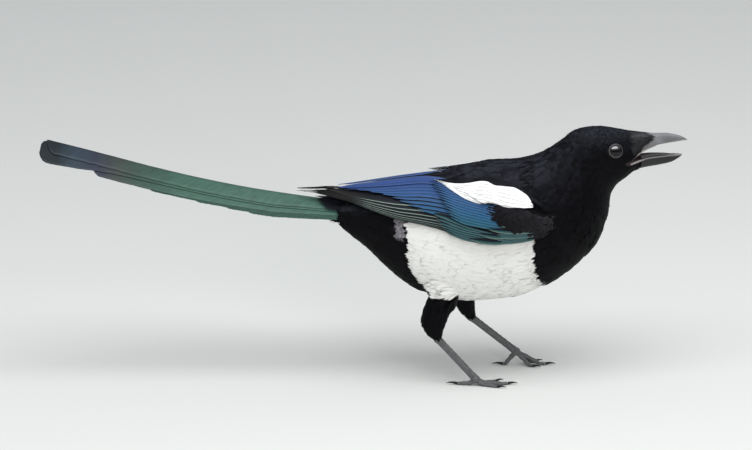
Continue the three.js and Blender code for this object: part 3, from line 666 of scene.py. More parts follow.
def contour_feather(name, barb_count, spread, seed):
    """A feather one unit long along X, from its root at the origin; Y is across and Z away from the skin."""
    draw = np.random.default_rng(seed)
    points, faces, vane = [], [], []

    def put(x, y, lift=0.0):
        points.append((x, y, 0.08 * math.sin(min(x, 1) * 2.2) - 0.35 * y * y - 0.1 * x * x + lift))
        vane.append((x, y / 0.36, 0))
        return len(points) - 1

    outline = [(0.0, 0.04), (0.2, 0.17), (0.45, 0.29), (0.66, 0.27), (0.78, 0.16)]
    rows = [(put(x, -w), put(x, 0, 0.012), put(x, w)) for x, w in outline]
    for (a, b, c), (d, e, f) in zip(rows, rows[1:]):
        faces += [(d, e, b, a), (e, f, c, b)]
    for k in range(barb_count):
        side = -1 + 2 * (k + 0.5) / barb_count
        turn = side * spread + draw.normal(0, 0.05)
        base_x = 0.74 - 0.34 * abs(side) ** 1.6
        base_y = 0.27 * side * (1.0 - 0.2 * abs(side))
        reach = (1.0 - base_x) * draw.uniform(0.75, 1.12) * (1 - 0.25 * abs(side))
        half = 0.5 / barb_count * draw.uniform(0.7, 1.1)
        across = (-math.sin(turn), math.cos(turn))
        tip = (base_x + reach * math.cos(turn), base_y + reach * math.sin(turn))
        middle = (base_x + 0.55 * reach * math.cos(turn * 0.8), base_y + 0.55 * reach * math.sin(turn * 0.8))
        lift = draw.uniform(-0.004, 0.016)
        a = put(base_x - across[0] * half, base_y - across[1] * half, -0.004)
        b = put(base_x + across[0] * half, base_y + across[1] * half, -0.004)
        c = put(middle[0] + across[0] * half * 0.8, middle[1] + across[1] * half * 0.8, lift)
        d = put(middle[0] - across[0] * half * 0.8, middle[1] - across[1] * half * 0.8, lift)
        e = put(*tip, lift * 0.5)
        faces += [(d, c, b, a), (e, c, d)]
    mesh = bpy.data.meshes.new(name)
    mesh.from_pydata(points, [], faces)
    mesh.shade_smooth()
    put_attributes(mesh, vane=np.array(vane))
    return bpy.data.objects.new(name, mesh)


def feather_set(name, count, barb_count, spread):
    collection = bpy.data.collections.new(name)
    for i in range(count):
        collection.objects.link(contour_feather(f"{name}_{i}", barb_count, spread, 11 + i))
    return collection


def make_coat_tree():
    """Feathers set on a skin: spacing, width, tilt, disorder and which part of the skin grows them."""
    tree = bpy.data.node_groups.new("coat_of_feathers", "GeometryNodeTree")
    kinds = {"Skin": "Geometry", "Feathers": "Collection", "Spacing": "Float", "Width": "Float",
             "Tilt": "Float", "Disorder": "Float", "Patch": "Float", "Seed": "Int", "Finish": "Material"}
    sockets = {name: tree.interface.new_socket(name, in_out="INPUT", socket_type="NodeSocket" + kind)
               for name, kind in kinds.items()}
    tree.interface.new_socket("Coat", in_out="OUTPUT", socket_type="NodeSocketGeometry")

    def node(kind, *inputs, **settings):
        """A new node with its settings; inputs are pairs of a socket and what it takes."""
        made = tree.nodes.new(kind)
        for key, value in settings.items():
            setattr(made, key, value)
        for socket, value in inputs:
            if isinstance(value, bpy.types.NodeSocket):
                tree.links.new(value, made.inputs[socket])
            else:
                made.inputs[socket].default_value = value
        return made

    def named(name, kind="FLOAT_VECTOR"):
        return node("GeometryNodeInputNamedAttribute", ("Name", name), data_type=kind).outputs["Attribute"]

    def maths(operation, a, b):
        return node("ShaderNodeMath", (0, a), (1, b), operation=operation).outputs[0]

    def drawn(low, high, salt):
        seed = maths("ADD", given["Seed"], salt)
        made = node("FunctionNodeRandomValue", (2, low), (3, high), ("Seed", seed), data_type="FLOAT")
        return made.outputs[1]

    def stored(geometry, name, value, kind, domain="POINT"):
        made = node("GeometryNodeStoreNamedAttribute", ("Geometry", geometry), ("Name", name),
                    ("Value", value), data_type=kind, domain=domain)
        return made.outputs[0]

    given = node("NodeGroupInput").outputs
    spacing, disorder = given["Spacing"], given["Disorder"]
    density = maths("DIVIDE", 1.6, maths("MULTIPLY", spacing, spacing))
    roots = node("GeometryNodeDistributePointsOnFaces", ("Mesh", given["Skin"]), ("Distance Min", spacing),
                 ("Density Max", density), ("Density Factor", named("grows", "FLOAT")),
                 ("Seed", given["Seed"]), distribute_method="POISSON")
    laid = node("FunctionNodeAxesToRotation", (0, roots.outputs["Normal"]), (1, named("lie")),
                primary_axis="Z", secondary_axis="X")
    lift = maths("ADD", given["Tilt"], maths("MULTIPLY", drawn(-0.35, 0.35, 2), disorder))
    bend = node("ShaderNodeCombineXYZ", (0, maths("MULTIPLY", drawn(-1, 1, 1), disorder)),
                (1, maths("MULTIPLY", lift, -1)), (2, maths("MULTIPLY", drawn(-1, 1, 3), disorder)))
    bent = node("FunctionNodeEulerToRotation", (0, bend.outputs[0]))
    turned = node("FunctionNodeRotateRotation", (0, laid.outputs[0]), (1, bent.outputs[0]),
                  rotation_space="LOCAL")
    long = maths("MULTIPLY", maths("MULTIPLY", named("length", "FLOAT"), MM), drawn(0.82, 1.15, 4))
    size = node("ShaderNodeCombineXYZ", (0, long), (1, maths("MULTIPLY", long, given["Width"])), (2, long))
    source = node("GeometryNodeCollectionInfo", ("Collection", given["Feathers"]),
                  ("Separate Children", True), ("Reset Children", True))
    points = stored(roots.outputs["Points"], "tone", drawn(0.2, 1.6, 5), "FLOAT")
    points = stored(points, "under", named("skin_normal"), "FLOAT_VECTOR")
    which = node("FunctionNodeRandomValue", (4, 0), (5, 63), data_type="INT")
    copies = node("GeometryNodeInstanceOnPoints", ("Points", points), ("Instance", source.outputs[0]),
                  ("Pick Instance", True), ("Instance Index", which.outputs[2]),
                  ("Rotation", turned.outputs[0]), ("Scale", size.outputs[0]))
    solid = node("GeometryNodeRealizeInstances", (0, copies.outputs[0]))
    half_patch = maths("MULTIPLY", given["Patch"], 0.5)
    patch = node("ShaderNodeVectorMath", (0, named("vane")), ("Scale", half_patch), operation="SCALE")
    place = node("ShaderNodeVectorMath", (0, named("root_place")), (1, patch.outputs[0]), operation="ADD")
    unwrapped = stored(solid.outputs[0], "OFBake", place.outputs[0], "FLOAT2", "CORNER")
    finished = node("GeometryNodeSetMaterial", ("Geometry", unwrapped), ("Material", given["Finish"]))
    node("NodeGroupOutput", (0, finished.outputs[0]))
    return tree, {name: socket.identifier for name, socket in sockets.items()}


coat_tree, coat_inputs = make_coat_tree()
BAKE_PATCH = 0.003


def grow_coat(name, on, grows, feathers, spacing, width, tilt, disorder, seed):
    """A piece of the coat over the part of a surface where grows is 1."""
    if "grows" in on.data.attributes:
        on.data.attributes.remove(on.data.attributes["grows"])
    put_attributes(on.data, grows=grows)
    bed = link_object(name + "_bed", on.data)
    modifier = bed.modifiers.new("coat", "NODES")
    modifier.node_group = coat_tree
    for key, value in (("Feathers", feathers), ("Spacing", spacing * MM), ("Width", width), ("Tilt", tilt),
                       ("Disorder", disorder), ("Patch", BAKE_PATCH), ("Seed", seed), ("Finish", plumage)):
        modifier[coat_inputs[key]] = value
    mesh = plain_mesh(bed)
    bpy.data.objects.remove(bed)
    mesh.name = name
    return fit(link_object(name, mesh), "body_feathers")


soft_feathers = feather_set("soft_feather", 4, 11, 0.55)
fine_feathers = feather_set("fine_feather", 4, 5, 0.5)
station, bare, white_share, shin_share = (pull(skin.data.attributes[name].data, "value")
                                          for name in ("station", "bare", "feather_white", "shin"))
covered = 1 - step(0.1, 0.5, bare)
# The pieces of the coat meet at stations that wander, so that no line shows between them
station = station + np.random.default_rng(17).normal(0, 0.2, len(station)) * (station > 6)
on_shin = shin_share > 0.5
white_body = (white_share > 0.5) * ~on_shin
dark_body = (white_share <= 0.5) * ~on_shin
NAPE_FROM, CROWN_FROM, FACE_FROM = 8.2, 10.2, 12.2
OVERLAP = 0.2
face = covered * (station >= FACE_FROM) * ~on_shin
crown = covered * (station >= CROWN_FROM) * (station < FACE_FROM + OVERLAP) * ~on_shin
nape = covered * (station >= NAPE_FROM) * (station < CROWN_FROM + OVERLAP) * ~on_shin
# Each piece has its feathers' spacing, width, tilt and disorder, and a seed
grow_coat("coat_face", skin, face, fine_feathers, 0.62, 0.9, 0.1, 0.14, 3)
grow_coat("coat_head", skin, crown, fine_feathers, 0.95, 0.85, 0.1, 0.12, 4)
grow_coat("coat_neck", skin, nape, soft_feathers, 1.9, 0.85, 0.1, 0.12, 5)
grow_coat("coat_belly", skin, white_body, soft_feathers, 1.65, 0.45, 0.05, 0.09, 6)
behind_nape = dark_body * (station < NAPE_FROM + OVERLAP)
grow_coat("coat_dark", skin, behind_nape, soft_feathers, 2.0, 0.62, 0.06, 0.1, 7)
grow_coat("coat_shins", skin, covered * on_shin, soft_feathers, 1.5, 0.8, 0.12, 0.15, 8)

# The folded wings. Stiff flight feathers lie shut like a fan, the outermost at the bottom and the inner
# ones on top, and coverts lie over their roots in rows. The right wing is made and the left mirrors it.
# Rows of x, y and z of the lower edge, y and z of the edge on the back.
WING = [
    [137, -32, 126, -29, 137], [128, -35.5, 119.6, -30, 139], [119, -37, 116.6, -27, 146],
    [105, -38, 114.2, -20, 153], [90, -38.3, 113.2, -15, 156], [72, -37.8, 115.6, -11, 155],
    [55, -35, 121.6, -4, 153.6], [40, -31.5, 124.6, -1.2, 152.4], [25, -28, 126.8, -0.7, 150.6],
    [11, -23.2, 130, -0.6, 148.6], [-3, -18, 134, -0.6, 146.6], [-18, -12.5, 137.2, -0.6, 144.8],
    [-33, -7.5, 139.4, -0.6, 143.6], [-50, -4.5, 141.2, -0.6, 142.9],
]
# Places across the wing of the last primary, of the first secondary's lower neighbour and of the last
# tertial, at x, and how much the primaries draw together towards the lower edge
FAN = [[137, 0.12, 0.12, 0.5, 1], [105, 0.14, 0.14, 0.52, 1], [90, 0.16, 0.16, 0.58, 1.1],
       [72, 0.24, 0.19, 0.68, 1.4], [60, 0.31, 0.2, 0.74, 1.8], [43, 0.37, 0.2, 0.8, 2.3],
       [15, 0.37, 0.2, 0.79, 2.3], [-5, 0.4, 0.2, 0.8, 2.3], [-14, 0.44, 0.22, 0.8, 2.2],
       [-30, 0.8, 0.4, 0.85, 1.4], [-50, 1, 0.6, 0.9, 1]]
LAST_PRIMARY, LAST_TERTIAL = 9, 18
# Where each flight feather's tip lies, from the outermost primary to the last tertial
FLIGHT_TIPS = [26, 1, -20, -35, -44, -48.6, -46, -41, -35, -28, 38, 31, 25, 20, 13, 4, -5, -13, -19]
BACK_EDGE = 0.995
ARM_TOP = 0.44
# The rise from one flight feather to the next, and a vane's thickness
LAYER, VANE = 0.62, 0.22
VANE_COLUMNS = 9


def profile(rows):
    """Smooth values at x through rows of x and values, highest x first."""
    rows = np.asarray(rows, float)[::-1]
    x, values = rows[:, 0], rows[:, 1:]
    before, after = np.maximum(np.arange(len(x)) - 1, 0), np.minimum(np.arange(len(x)) + 1, len(x) - 1)
    slope = (values[after] - values[before]) / (x[after] - x[before])[:, None]

    def at(q):
        q = np.asarray(q, float)
        i = np.clip(np.searchsorted(x, q, side="right") - 1, 0, len(x) - 2)
        h = (x[i + 1] - x[i])[..., None]
        f = np.clip((q[..., None] - x[i][..., None]) / h, -0.5, 1.5)
        g = 1 - f
        bend = (g * slope[i] - f * slope[i + 1]) * h
        return g * values[i] + f * values[i + 1] + f * g * (bend + (2 * f - 1) * (values[i + 1] - values[i]))
    return at


wing_shape, fan_rows = profile(WING), profile(FAN)


def wing_surface(x, v):
    row = wing_shape(x)
    turn = v * math.pi / 2
    y = row[..., 2] + (row[..., 0] - row[..., 2]) * np.cos(turn)
    z = row[..., 1] + (row[..., 3] - row[..., 1]) * np.sin(turn)
    return np.stack([x + 0 * y, y, z], -1)


def wing_point(x, v, height):
    across = wing_surface(x, v + 0.02) - wing_surface(x, v - 0.02)
    forward = wing_surface(x + 1, v) - wing_surface(x - 1, v)
    return wing_surface(x, v) + unit(np.cross(forward, across)) * height[..., None]


def primary_lane(x, q):
    """The place across the wing of primary number q, at x."""
    row = fan_rows(x)
    share = q / LAST_PRIMARY
    return row[..., 0] * np.where(share < 0, 0.12 * share, np.maximum(share, 0) ** row[..., 3])


def secondary_lane(x, q):
    """The place across the wing of secondary or tertial number q, at x."""
    row = fan_rows(x)
    past = (q - LAST_PRIMARY) / (LAST_TERTIAL - LAST_PRIMARY)
    return row[..., 1] + (row[..., 2] - row[..., 1]) * past


def slab(upper, lower):
    """A thin solid between two grids of points."""
    rows, columns = upper.shape[:2]
    points = np.concatenate([upper.reshape(-1, 3), lower.reshape(-1, 3)])
    under = rows * columns
    faces = []
    for r in range(rows - 1):
        for c in range(columns - 1):
            a, b = r * columns + c, r * columns + c + 1
            d, e = b + columns, a + columns
            faces += [(a, b, d, e), (under + e, under + d, under + b, under + a)]
    last_row, last_column = (rows - 1) * columns, columns - 1
    rim = list(range(last_column)) + [r * columns + last_column for r in range(rows - 1)]
    rim += [last_row + c for c in range(last_column, 0, -1)] + [r * columns for r in range(rows - 1, 0, -1)]
    for a, b in zip(rim, rim[1:] + rim[:1]):
        faces.append((b, a, under + a, under + b))
    return points, faces


def feather_piece(name, points, faces, material, slot, unwrap, closed=True, **values):
    """A piece of many feathers with values at its points and each feather's patch of the map OFBake."""
    mesh = bpy.data.meshes.new(name)
    mesh.from_pydata((points * MM).tolist(), [], faces)
    if closed:
        face_outwards(mesh)
    mesh.shade_smooth()
    put_attributes(mesh, **values)
    corner = pull(mesh.loops, "vertex_index", np.int32)
    mesh.uv_layers.new(name="OFBake").uv.foreach_set("vector", unwrap[corner].astype(np.float32).ravel())
    mesh.materials.append(material)
    return fit(link_object(name, mesh), slot)


class Vanes:
    """Vanes gathered into one piece, with each vane's place along and across, and its tint."""

    def __init__(self):
        self.parts, self.vane, self.tint = [], [], []

    def add(self, upper, lower, along_it, across_it, tint):
        self.parts.append(slab(upper, lower))
        place = [np.broadcast_to(v, upper.shape[:2]) for v in (along_it, across_it, len(self.parts))]
        place = np.stack(place, -1).reshape(-1, 3)
        self.vane += [place, place]
        self.tint += [np.tile(np.asarray(tint, float), (2 * len(place), 1))]

    def build(self, name, material, slot, mirror=False):
        points, faces = merged(self.parts)
        vane, tint = np.concatenate(self.vane), np.concatenate(self.tint)
        points = points * [1, -1 if mirror else 1, 1]
        return feather_piece(name, points, faces, material, slot, self.unwrap(vane), vane=vane, tint=tint)

    def unwrap(self, vane):
        """Each vane is a strip of the map."""
        count = len(self.parts)
        columns = math.ceil(math.sqrt(count / 2)) * 2
        index = vane[:, 2].astype(int) - 1
        u = (index % columns + 0.5 + 0.42 * np.clip(vane[:, 1], -1, 1)) / columns
        v = (index // columns + 0.04 + 0.92 * vane[:, 0]) / math.ceil(count / columns)
        return np.stack([u, v], -1)


ragged = np.random.default_rng(5)


def drop(t):
    """How many layers a web sinks under its neighbours, t places away."""
    return np.minimum(t, 2.5 + 0.15 * (t - 2.5))


def rows_of(root, tip, rows):
    """Places from root to tip, closer together towards the tip."""
    return root + (tip - root) * np.sin(np.linspace(0, math.pi / 2, rows))


def wing_vane(vanes, lane, number, root, tip, outer, inner, base, tint, extra=0.0, stride=1.0, limit=None,
              taper=12, rows=34, smooth=False, sink=9.0, climb=0.0, lift=0.0, layer=LAYER):
    """One feather of the folded fan. It lies a layer above its neighbour of the next lower number.

    Its inner web sinks no more than sink layers; it rises by climb at the arm and by lift towards its tip.
    """
    x = rows_of(root, tip, rows)
    width = np.clip((x - tip) / taper, 0, 1) ** 0.55 * (1 + ragged.normal(0, 0.035, rows))
    width[0] = 1
    tucked = (width * (1 + (0.45 - 1) * np.clip((x - 40) / 30, 0, 1)))[:, None]
    side = np.linspace(-1, 1, VANE_COLUMNS)[None]
    aside = np.where(side < 0, side * outer * width[:, None], side * inner * tucked)
    aside = np.where(side >= 1, aside + extra * tucked, aside)
    q = number + aside
    grid_x = np.broadcast_to(x[:, None], q.shape)
    edge = BACK_EDGE if limit is None else limit(x)[:, None]
    for _ in range(240):
        q = np.where(lane(grid_x, q) > edge, q - 0.05, q)
    height = base - layer * np.minimum(drop((q - number) / stride), sink)
    height = height + (climb * np.clip((x - 78) / 20, 0, 1) + lift * np.clip((-14 - x) / 14, 0, 1))[:, None]
    ridge = 0.14 * np.exp(-(aside / (0.07 * outer)) ** 2) * np.clip((x - tip) / 25, 0.2, 1)[:, None]
    place = lane(grid_x, q)
    vanes.add(wing_point(grid_x, place, height + ridge), wing_point(grid_x, place, height - VANE),
              ((root - x) / (root - tip))[:, None], -np.abs(side) if smooth else side, tint)


def covert_limit(x):
    """The place across the wing that no covert reaches past, at x."""
    return ARM_TOP + (0.74 - ARM_TOP) * np.clip((84 - x) / 26, 0, 1)


def make_wing(name, node, mirror):
    """Tints are hue from violet-blue to sea green, how pale the outer edge is, and how dark the vane is. The
    lowest primaries' pale edges are dimmed as painted shade.
    """
    vanes = Vanes()
    for number, tip in enumerate(FLIGHT_TIPS):
        if number <= LAST_PRIMARY:
            # Painted shade: the lowest primaries, at the bottom of the folded wing, get a dimmer pale edge
            pale = np.interp(number, [2, 5], [0.25, 1])
            wing_vane(vanes, primary_lane, number, 90, tip, 0.6, 2.4, -2.1, (1, pale, 0.9), taper=22, rows=46,
                      extra=3 if number == LAST_PRIMARY else 0, sink=9 if number < 6 else 1, lift=1.5)
            continue
        hue = np.interp(number, [10, 14, 18], [0.75, 0.3, 0])
        smooth, last = number > 13, number == LAST_TERTIAL
        wing_vane(vanes, secondary_lane, number, 90, tip, 0.75, 3.2 if last else 1.3, -0.8,
                  (hue, 0.1, 0.05 if smooth else 0.12), smooth=smooth, sink=-2.5 if last else 9,
                  layer=0.28 if smooth else 0.5)
    for i, number in enumerate(np.arange(0.6, 7.3, 0.95)):
        wing_vane(vanes, primary_lane, number, 116, 60 - 1.5 * i, 0.7, 1.2, 0.6, (0.97, 0.3, 0.2), stride=1.4,
                  taper=11, rows=24, limit=covert_limit, climb=2.6)
    for i, number in enumerate(np.arange(9.6, 18, 0.6)):
        hue = np.interp(number, [10, 16], [0.9, 0.3])
        wing_vane(vanes, secondary_lane, number, 114, 61.5 - 1.1 * i, 0.6, 0.62, 1.9, (hue, 0.1, 0.05),
                  stride=0.85, taper=10, rows=30, limit=covert_limit, climb=0.3)
    for i, number in enumerate((6.3, 7.7, 9.1, 10.4)):
        wing_vane(vanes, secondary_lane, number, 120, 75 + 6.5 * i, 0.75, 1.2, 2.9, (1, 0.5, 0.35),
                  stride=1.8, rows=24, limit=covert_limit, climb=0.3)
    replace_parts(vanes.build(name, wing_blue, "wing_feathers", mirror), node)


VIOLET_BLUE = (0.045, 0.1, 0.32)
TEAL_BLUE = (0.016, 0.15, 0.32)
SEA_GREEN = (0.04, 0.14, 0.14)
WEB_DARK = (0.006, 0.007, 0.011)
EDGE_PALE = (0.26, 0.32, 0.28)
TIP_BROWN = (0.02, 0.017, 0.017)


def wing_material():
    material, tree, shader = new_finish("wing_blue", 0.45, 0.15)
    ridges, shaft, streaks, vane = add_barbs(tree, 120, 26)
    green, pale, dark = split(tree, attribute(tree, "tint", "Vector"))
    hue = add_mix(tree, green, VIOLET_BLUE, TEAL_BLUE)
    hue = add_mix(tree, add_math(tree, "POWER", green, 6), hue, SEA_GREEN)
    hue = add_mix(tree, dark, hue, WEB_DARK)
    outer_web = add_mix(tree, add_math(tree, "MULTIPLY", streaks, 0.55), hue, WEB_DARK)
    inner = add_math(tree, "MULTIPLY_ADD", vane[1], 14, 0.4, clamp=True)
    colour = add_mix(tree, inner, outer_web, WEB_DARK)
    ahead = add_math(tree, "MULTIPLY_ADD", split(tree, object_place(tree))[0], 1 / (14 * MM), 0.8, clamp=True)
    rim = add_math(tree, "SUBTRACT", add_math(tree, "MULTIPLY", vane[1], -9), 5.4, clamp=True)
    rim = add_math(tree, "MULTIPLY", rim, ahead)
    # The pale outer edge, dimmed on the lowest primaries as painted shade
    colour = add_mix(tree, add_math(tree, "MULTIPLY", rim, pale), colour, EDGE_PALE)
    tipped = add_math(tree, "MULTIPLY", add_math(tree, "SUBTRACT", 1, ahead), dark)
    colour = add_mix(tree, tipped, colour, TIP_BROWN)
    paint(tree, add_mix(tree, shaft, colour, WEB_DARK), shader)
    add_bump(tree, shader, ridges, 0.3, 0.00008)
    return material


wing_blue = wing_material()
make_wing("wing_vanes_right", "wing_right", False)
make_wing("wing_vanes_left", "wing_left", True)


# The arm under the black lesser coverts: a pad of flesh from the wrist back, which small black feathers
# grow on. Here is where the blue coverts end and the black ones begin: place across the wing, x.
BLACK_COVERTS = np.array([[0, 121], [0.09, 119], [0.124, 112], [0.164, 107.6], [0.2, 103.3], [0.244, 99],
                          [0.3, 96.1], [0.329, 91.8], [0.383, 88.9], [0.451, 85.3], [0.5, 82]])


def make_arm(name, side):
    """The patch from the wrist back, on which the black lesser coverts grow. The side is 1 on the right."""
    x = np.linspace(136.5, 82, 30)[:, None] + np.zeros((1, 20))
    v = np.linspace(-0.01, ARM_TOP + 0.06, 20)[None] + np.zeros((30, 1))
    rim = np.sin(np.linspace(0.12, math.pi - 0.12, 20))[None] ** 0.5
    height = (1.6 + 1.4 * rim) * np.clip((x - 76) / 26, 0, 1) * np.clip((137.5 - x) / 5, 0.2, 1) ** 0.5
    points, faces = slab(wing_point(x, v, height), wing_point(x, v, np.where(x > 128, -5, -8) + 0 * x))
    arm = mesh_object(name, points * [1, side, 1], faces)
    p, n = vertices(arm), normals(arm)
    flat = wing_surface(x, v).reshape(-1, 3) * [1, side, 1]
    nearest = ((p[:, None] - flat[None]) ** 2).sum(2).argmin(1)
    at_x, at_v = x.ravel()[nearest], v.ravel()[nearest]
    lie = np.tile([-1.0, 0, -0.16], (len(p), 1))
    lie = unit(lie - n * (lie * n).sum(1)[:, None])
    none = np.zeros(len(p))
    put_attributes(arm.data, lie=lie, skin_normal=n, white=none, feather_white=none, bare=none,
                   length=np.interp(at_x, [84, 110, 130, 137], [7, 6, 4.4, 3]),
                   feather_grey=np.interp(at_x, [90, 110, 125, 132], [0.02, 0.035, 0.06, 0.1]),
                   root_place=np.stack([at_x / 200 + 0.1, at_v, 0 * at_x], -1))
    arm.data.materials.append(skin_down)
    fit(arm, "body_feathers")
    black = at_x > np.interp(at_v, *BLACK_COVERTS.T)
    grows = (n[:, 1] * side < 0.35) * (at_v < 0.45) * black
    grow_coat(name + "_coverts", arm, grows * 1.0, soft_feathers, 1.35, 0.95, 0.12, 0.14, 21)


make_arm("arm_right", 1)
make_arm("arm_left", -1)

# The shoulder: white scapular feathers in overlapping rows over the upper part of the wing, and black
# ones above them up to the back. Rows of x and the places across the wing of the white's two edges.
SHOULDER = profile([[120, 0.55, 0.6], [116, 0.51, 0.7], [112, 0.48, 0.72], [106, 0.45, 0.73],
                    [100, 0.44, 0.7], [93, 0.465, 0.69], [88, 0.47, 0.735], [82, 0.465, 0.74],
                    [76, 0.49, 0.72], [69, 0.54, 0.705], [62, 0.61, 0.71], [57, 0.675, 0.73],
                    [52, 0.74, 0.77]])
# The white rows: root, tip, height and count
WHITE_ROWS = ((88, 49, 2.5, 5), (101, 64, 3.0, 6), (112, 78, 3.5, 6), (119, 92, 4.0, 5))


def make_scapulars(name, node, mirror):
    vanes = Vanes()
    side = np.linspace(-1, 1, VANE_COLUMNS)[None]
    for root, tip, base, count in WHITE_ROWS:
        for index, share in enumerate(np.linspace(0.08, 0.92, count)):
            end = tip + 16 * abs(share - 0.55) + ragged.normal(0, 1)
            x = rows_of(root + ragged.normal(0, 0.8), end, 26)
            low, high = SHOULDER(x).T
            taper = np.clip((x - end) / 14, 0, 1) ** 0.55 * (1 + ragged.normal(0, 0.03, 26))
            aside = (0.8 * (high - low) / count * taper)[:, None] * side
            height = base + 0.13 * (index - side) + 0.06 * np.exp(-(side / 0.12) ** 2)
            grid_x = np.broadcast_to(x[:, None], aside.shape)
            v = np.minimum((low + (high - low) * share)[:, None] + aside, BACK_EDGE)
            vanes.add(wing_point(grid_x, v, height), wing_point(grid_x, v, height - VANE),
                      ((x[0] - x) / (x[0] - end))[:, None], side, (0, 0, 0))
    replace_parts(vanes.build(name, shoulder_white, "white_feathers", mirror), node)


def white_material():
    material, tree, shader = new_finish("shoulder_white", 0.6, 0.2)
    ridges, shaft, streaks, _ = add_barbs(tree, 60, 12)
    colour = add_mix(tree, add_math(tree, "MULTIPLY", streaks, 0.3), (0.9, 0.9, 0.89), WHITE_SHADE)
    paint(tree, add_mix(tree, add_math(tree, "MULTIPLY", shaft, 0.2), colour, (0.7, 0.7, 0.7)), shader)
    add_bump(tree, shader, ridges, 0.25, 0.00008)
    return material


shoulder_white = white_material()
make_scapulars("scapular_vanes_right", "scapulars_right", False)
make_scapulars("scapular_vanes_left", "scapulars_left", True)

# The tail: twelve long stiff feathers, the middle pair on top and longest, each next pair shorter and
# lower. They root together in the rump.
# Rows of x, the z of the tail's ridge, and how far out the middle feathers and the others reach.
TAIL = [[-14.4, 131.4, 14, 17], [-46, 135.6, 13.5, 17], [-82, 141.3, 13.3, 17.2],
        [-118, 148.7, 13.4, 18.3], [-154, 157.6, 13.8, 19.2], [-183, 165.7, 15.6, 19.5],
        [-205, 171.7, 18.8, 19.5], [-231.5, 178.6, 20.8, 19.5]]
TAIL_ROLL = math.radians(5)
TAIL_SLOPE = 0.48
TAIL_ROOT, TAIL_TIP = -18, -231
# How much shorter each pair is than the middle one
TAIL_STEPS = [0, 38, 76, 108, 130, 146]
TAIL_EDGE = 0.35
# Bronze green, then a coppery band, purple, and blue-green at the very tip: share of the length, colour
TAIL_COLOURS = ((0.0, (0.08, 0.18, 0.14)), (0.34, (0.08, 0.175, 0.135)), (0.55, (0.07, 0.165, 0.12)),
                (0.67, (0.05, 0.11, 0.085)), (0.77, (0.06, 0.08, 0.065)), (0.84, (0.036, 0.042, 0.07)),
                (0.92, (0.034, 0.06, 0.085)), (0.975, (0.008, 0.016, 0.02)))
tail_ridge = profile(TAIL)


def tail_point(x, a, height):
    z = tail_ridge(x)[..., 0]
    forward = unit(np.stack([-1 + 0 * z, 0 * z, tail_ridge(x - 1)[..., 0] - z], -1))
    aside = np.array([0.0, 1, 0]) * math.cos(TAIL_ROLL) - np.cross(forward, [0.0, 1, 0]) * math.sin(TAIL_ROLL)
    up = np.cross(aside, forward)
    up = up * np.sign(up[..., 2:3])
    spread = 0.72 + 0.28 * np.clip((-14 - x) / 50, None, 1)
    across = a * spread
    roof = -TAIL_SLOPE * (np.hypot(across, 5) - 5)
    return np.stack([x, 0 * z, z], -1) + aside * across[..., None] + up * (roof + height)[..., None]


def tail_vane(vanes, pair, side):
    """One tail feather; of the middle pair the left one lies on top and covers the right one's inner web."""
    left = side > 0
    top = left and pair == 0
    tip = TAIL_TIP + TAIL_STEPS[pair] + (3.5 + pair if left else 0)
    inner = 4 if pair else -12 if left else -4
    shaft = 4 if top else 9
    x = rows_of(TAIL_ROOT, tip, 64)
    _, middle, others = tail_ridge(x).T
    outer = others + TAIL_EDGE * pair if pair else middle
    width = np.sqrt(1 - (1 - np.clip((x - tip + 0.4) / 8, 0, 1)) ** 2) * (1 + ragged.normal(0, 0.01, 64))
    turn = np.linspace(-1, 1, 13)[None]
    reach = np.where(turn < 0, -turn * (outer - shaft)[:, None], -turn * (shaft - inner))
    across = side * (shaft + reach * width[:, None])
    grid_x = np.broadcast_to(x[:, None], across.shape)
    ridge = 0.3 * np.exp(-(turn / 0.09) ** 2) * np.clip((x - tip) / 60, 0.2, 1)[:, None]
    height = (0.5 if top else -0.62 * pair) + 0 * across
    vanes.add(tail_point(grid_x, across, height + ridge), tail_point(grid_x, across, height - VANE),
              ((TAIL_ROOT - x) / (TAIL_ROOT - tip))[:, None], turn, (pair, 0, 0))


def tail_material():
    material, tree, shader = new_finish("tail_green", 0.42, 0.25)
    ridges, shaft, streaks, _ = add_barbs(tree, 150, 9)
    back = add_math(tree, "SUBTRACT", -14 * MM, split(tree, object_place(tree))[0])
    back = add_math(tree, "DIVIDE", back, 217 * MM)
    back = add_math(tree, "ADD", back, add_math(tree, "MULTIPLY", add_noise(tree, 60), 0.05))
    hue = add_ramp(tree, back, TAIL_COLOURS)
    colour = add_mix(tree, add_math(tree, "MULTIPLY", streaks, 0.7), hue, WEB_DARK)
    paint(tree, add_mix(tree, add_math(tree, "MULTIPLY", shaft, 0.85), colour, WEB_DARK), shader)
    add_bump(tree, shader, ridges, 0.3, 0.00008)
    return material


def make_tail():
    vanes = Vanes()
    for pair in range(len(TAIL_STEPS)):
        for side in (1, -1):
            tail_vane(vanes, pair, side)
    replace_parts(vanes.build("tail_vanes", tail_material(), "tail_feathers"), "tail")


make_tail()


# Long loose feathers that lie over the wings' upper edge, the shoulders, the rump and the root of the
# tail. Each is a soft vane laid on the sheet of the part that it covers.
MANTLE = profile([[92, 160.6], [86, 159.2], [74, 156.9], [55, 153.2], [38, 151.4]])


def mantle_sheet(x, a, height):
    return np.stack([x, a, MANTLE(x)[..., 0] - 0.008 * a * a + height], -1)


def left_wing_point(x, v, height):
    return wing_point(x, v, height) * [1, -1, 1]


def feather_arrays(mesh):
    """A feather's points, their places along and across it, and its faces."""
    vane = pull(mesh.attributes["vane"].data, "vector")
    return pull(mesh.vertices, "co"), vane, [tuple(f.vertices) for f in mesh.polygons]


def sheet_normal(sheet, x, a, outward):
    """The sheet's normal, upwards where outward is 1 and downwards where it is -1."""
    level = 0 * x
    ahead = sheet(x + 0.5, a, level) - sheet(x - 0.5, a, level)
    across = sheet(x, a + 0.01, level) - sheet(x, a - 0.01, level)
    normal = unit(np.cross(ahead, across))
    return normal * outward * np.sign(normal[:, 2:])


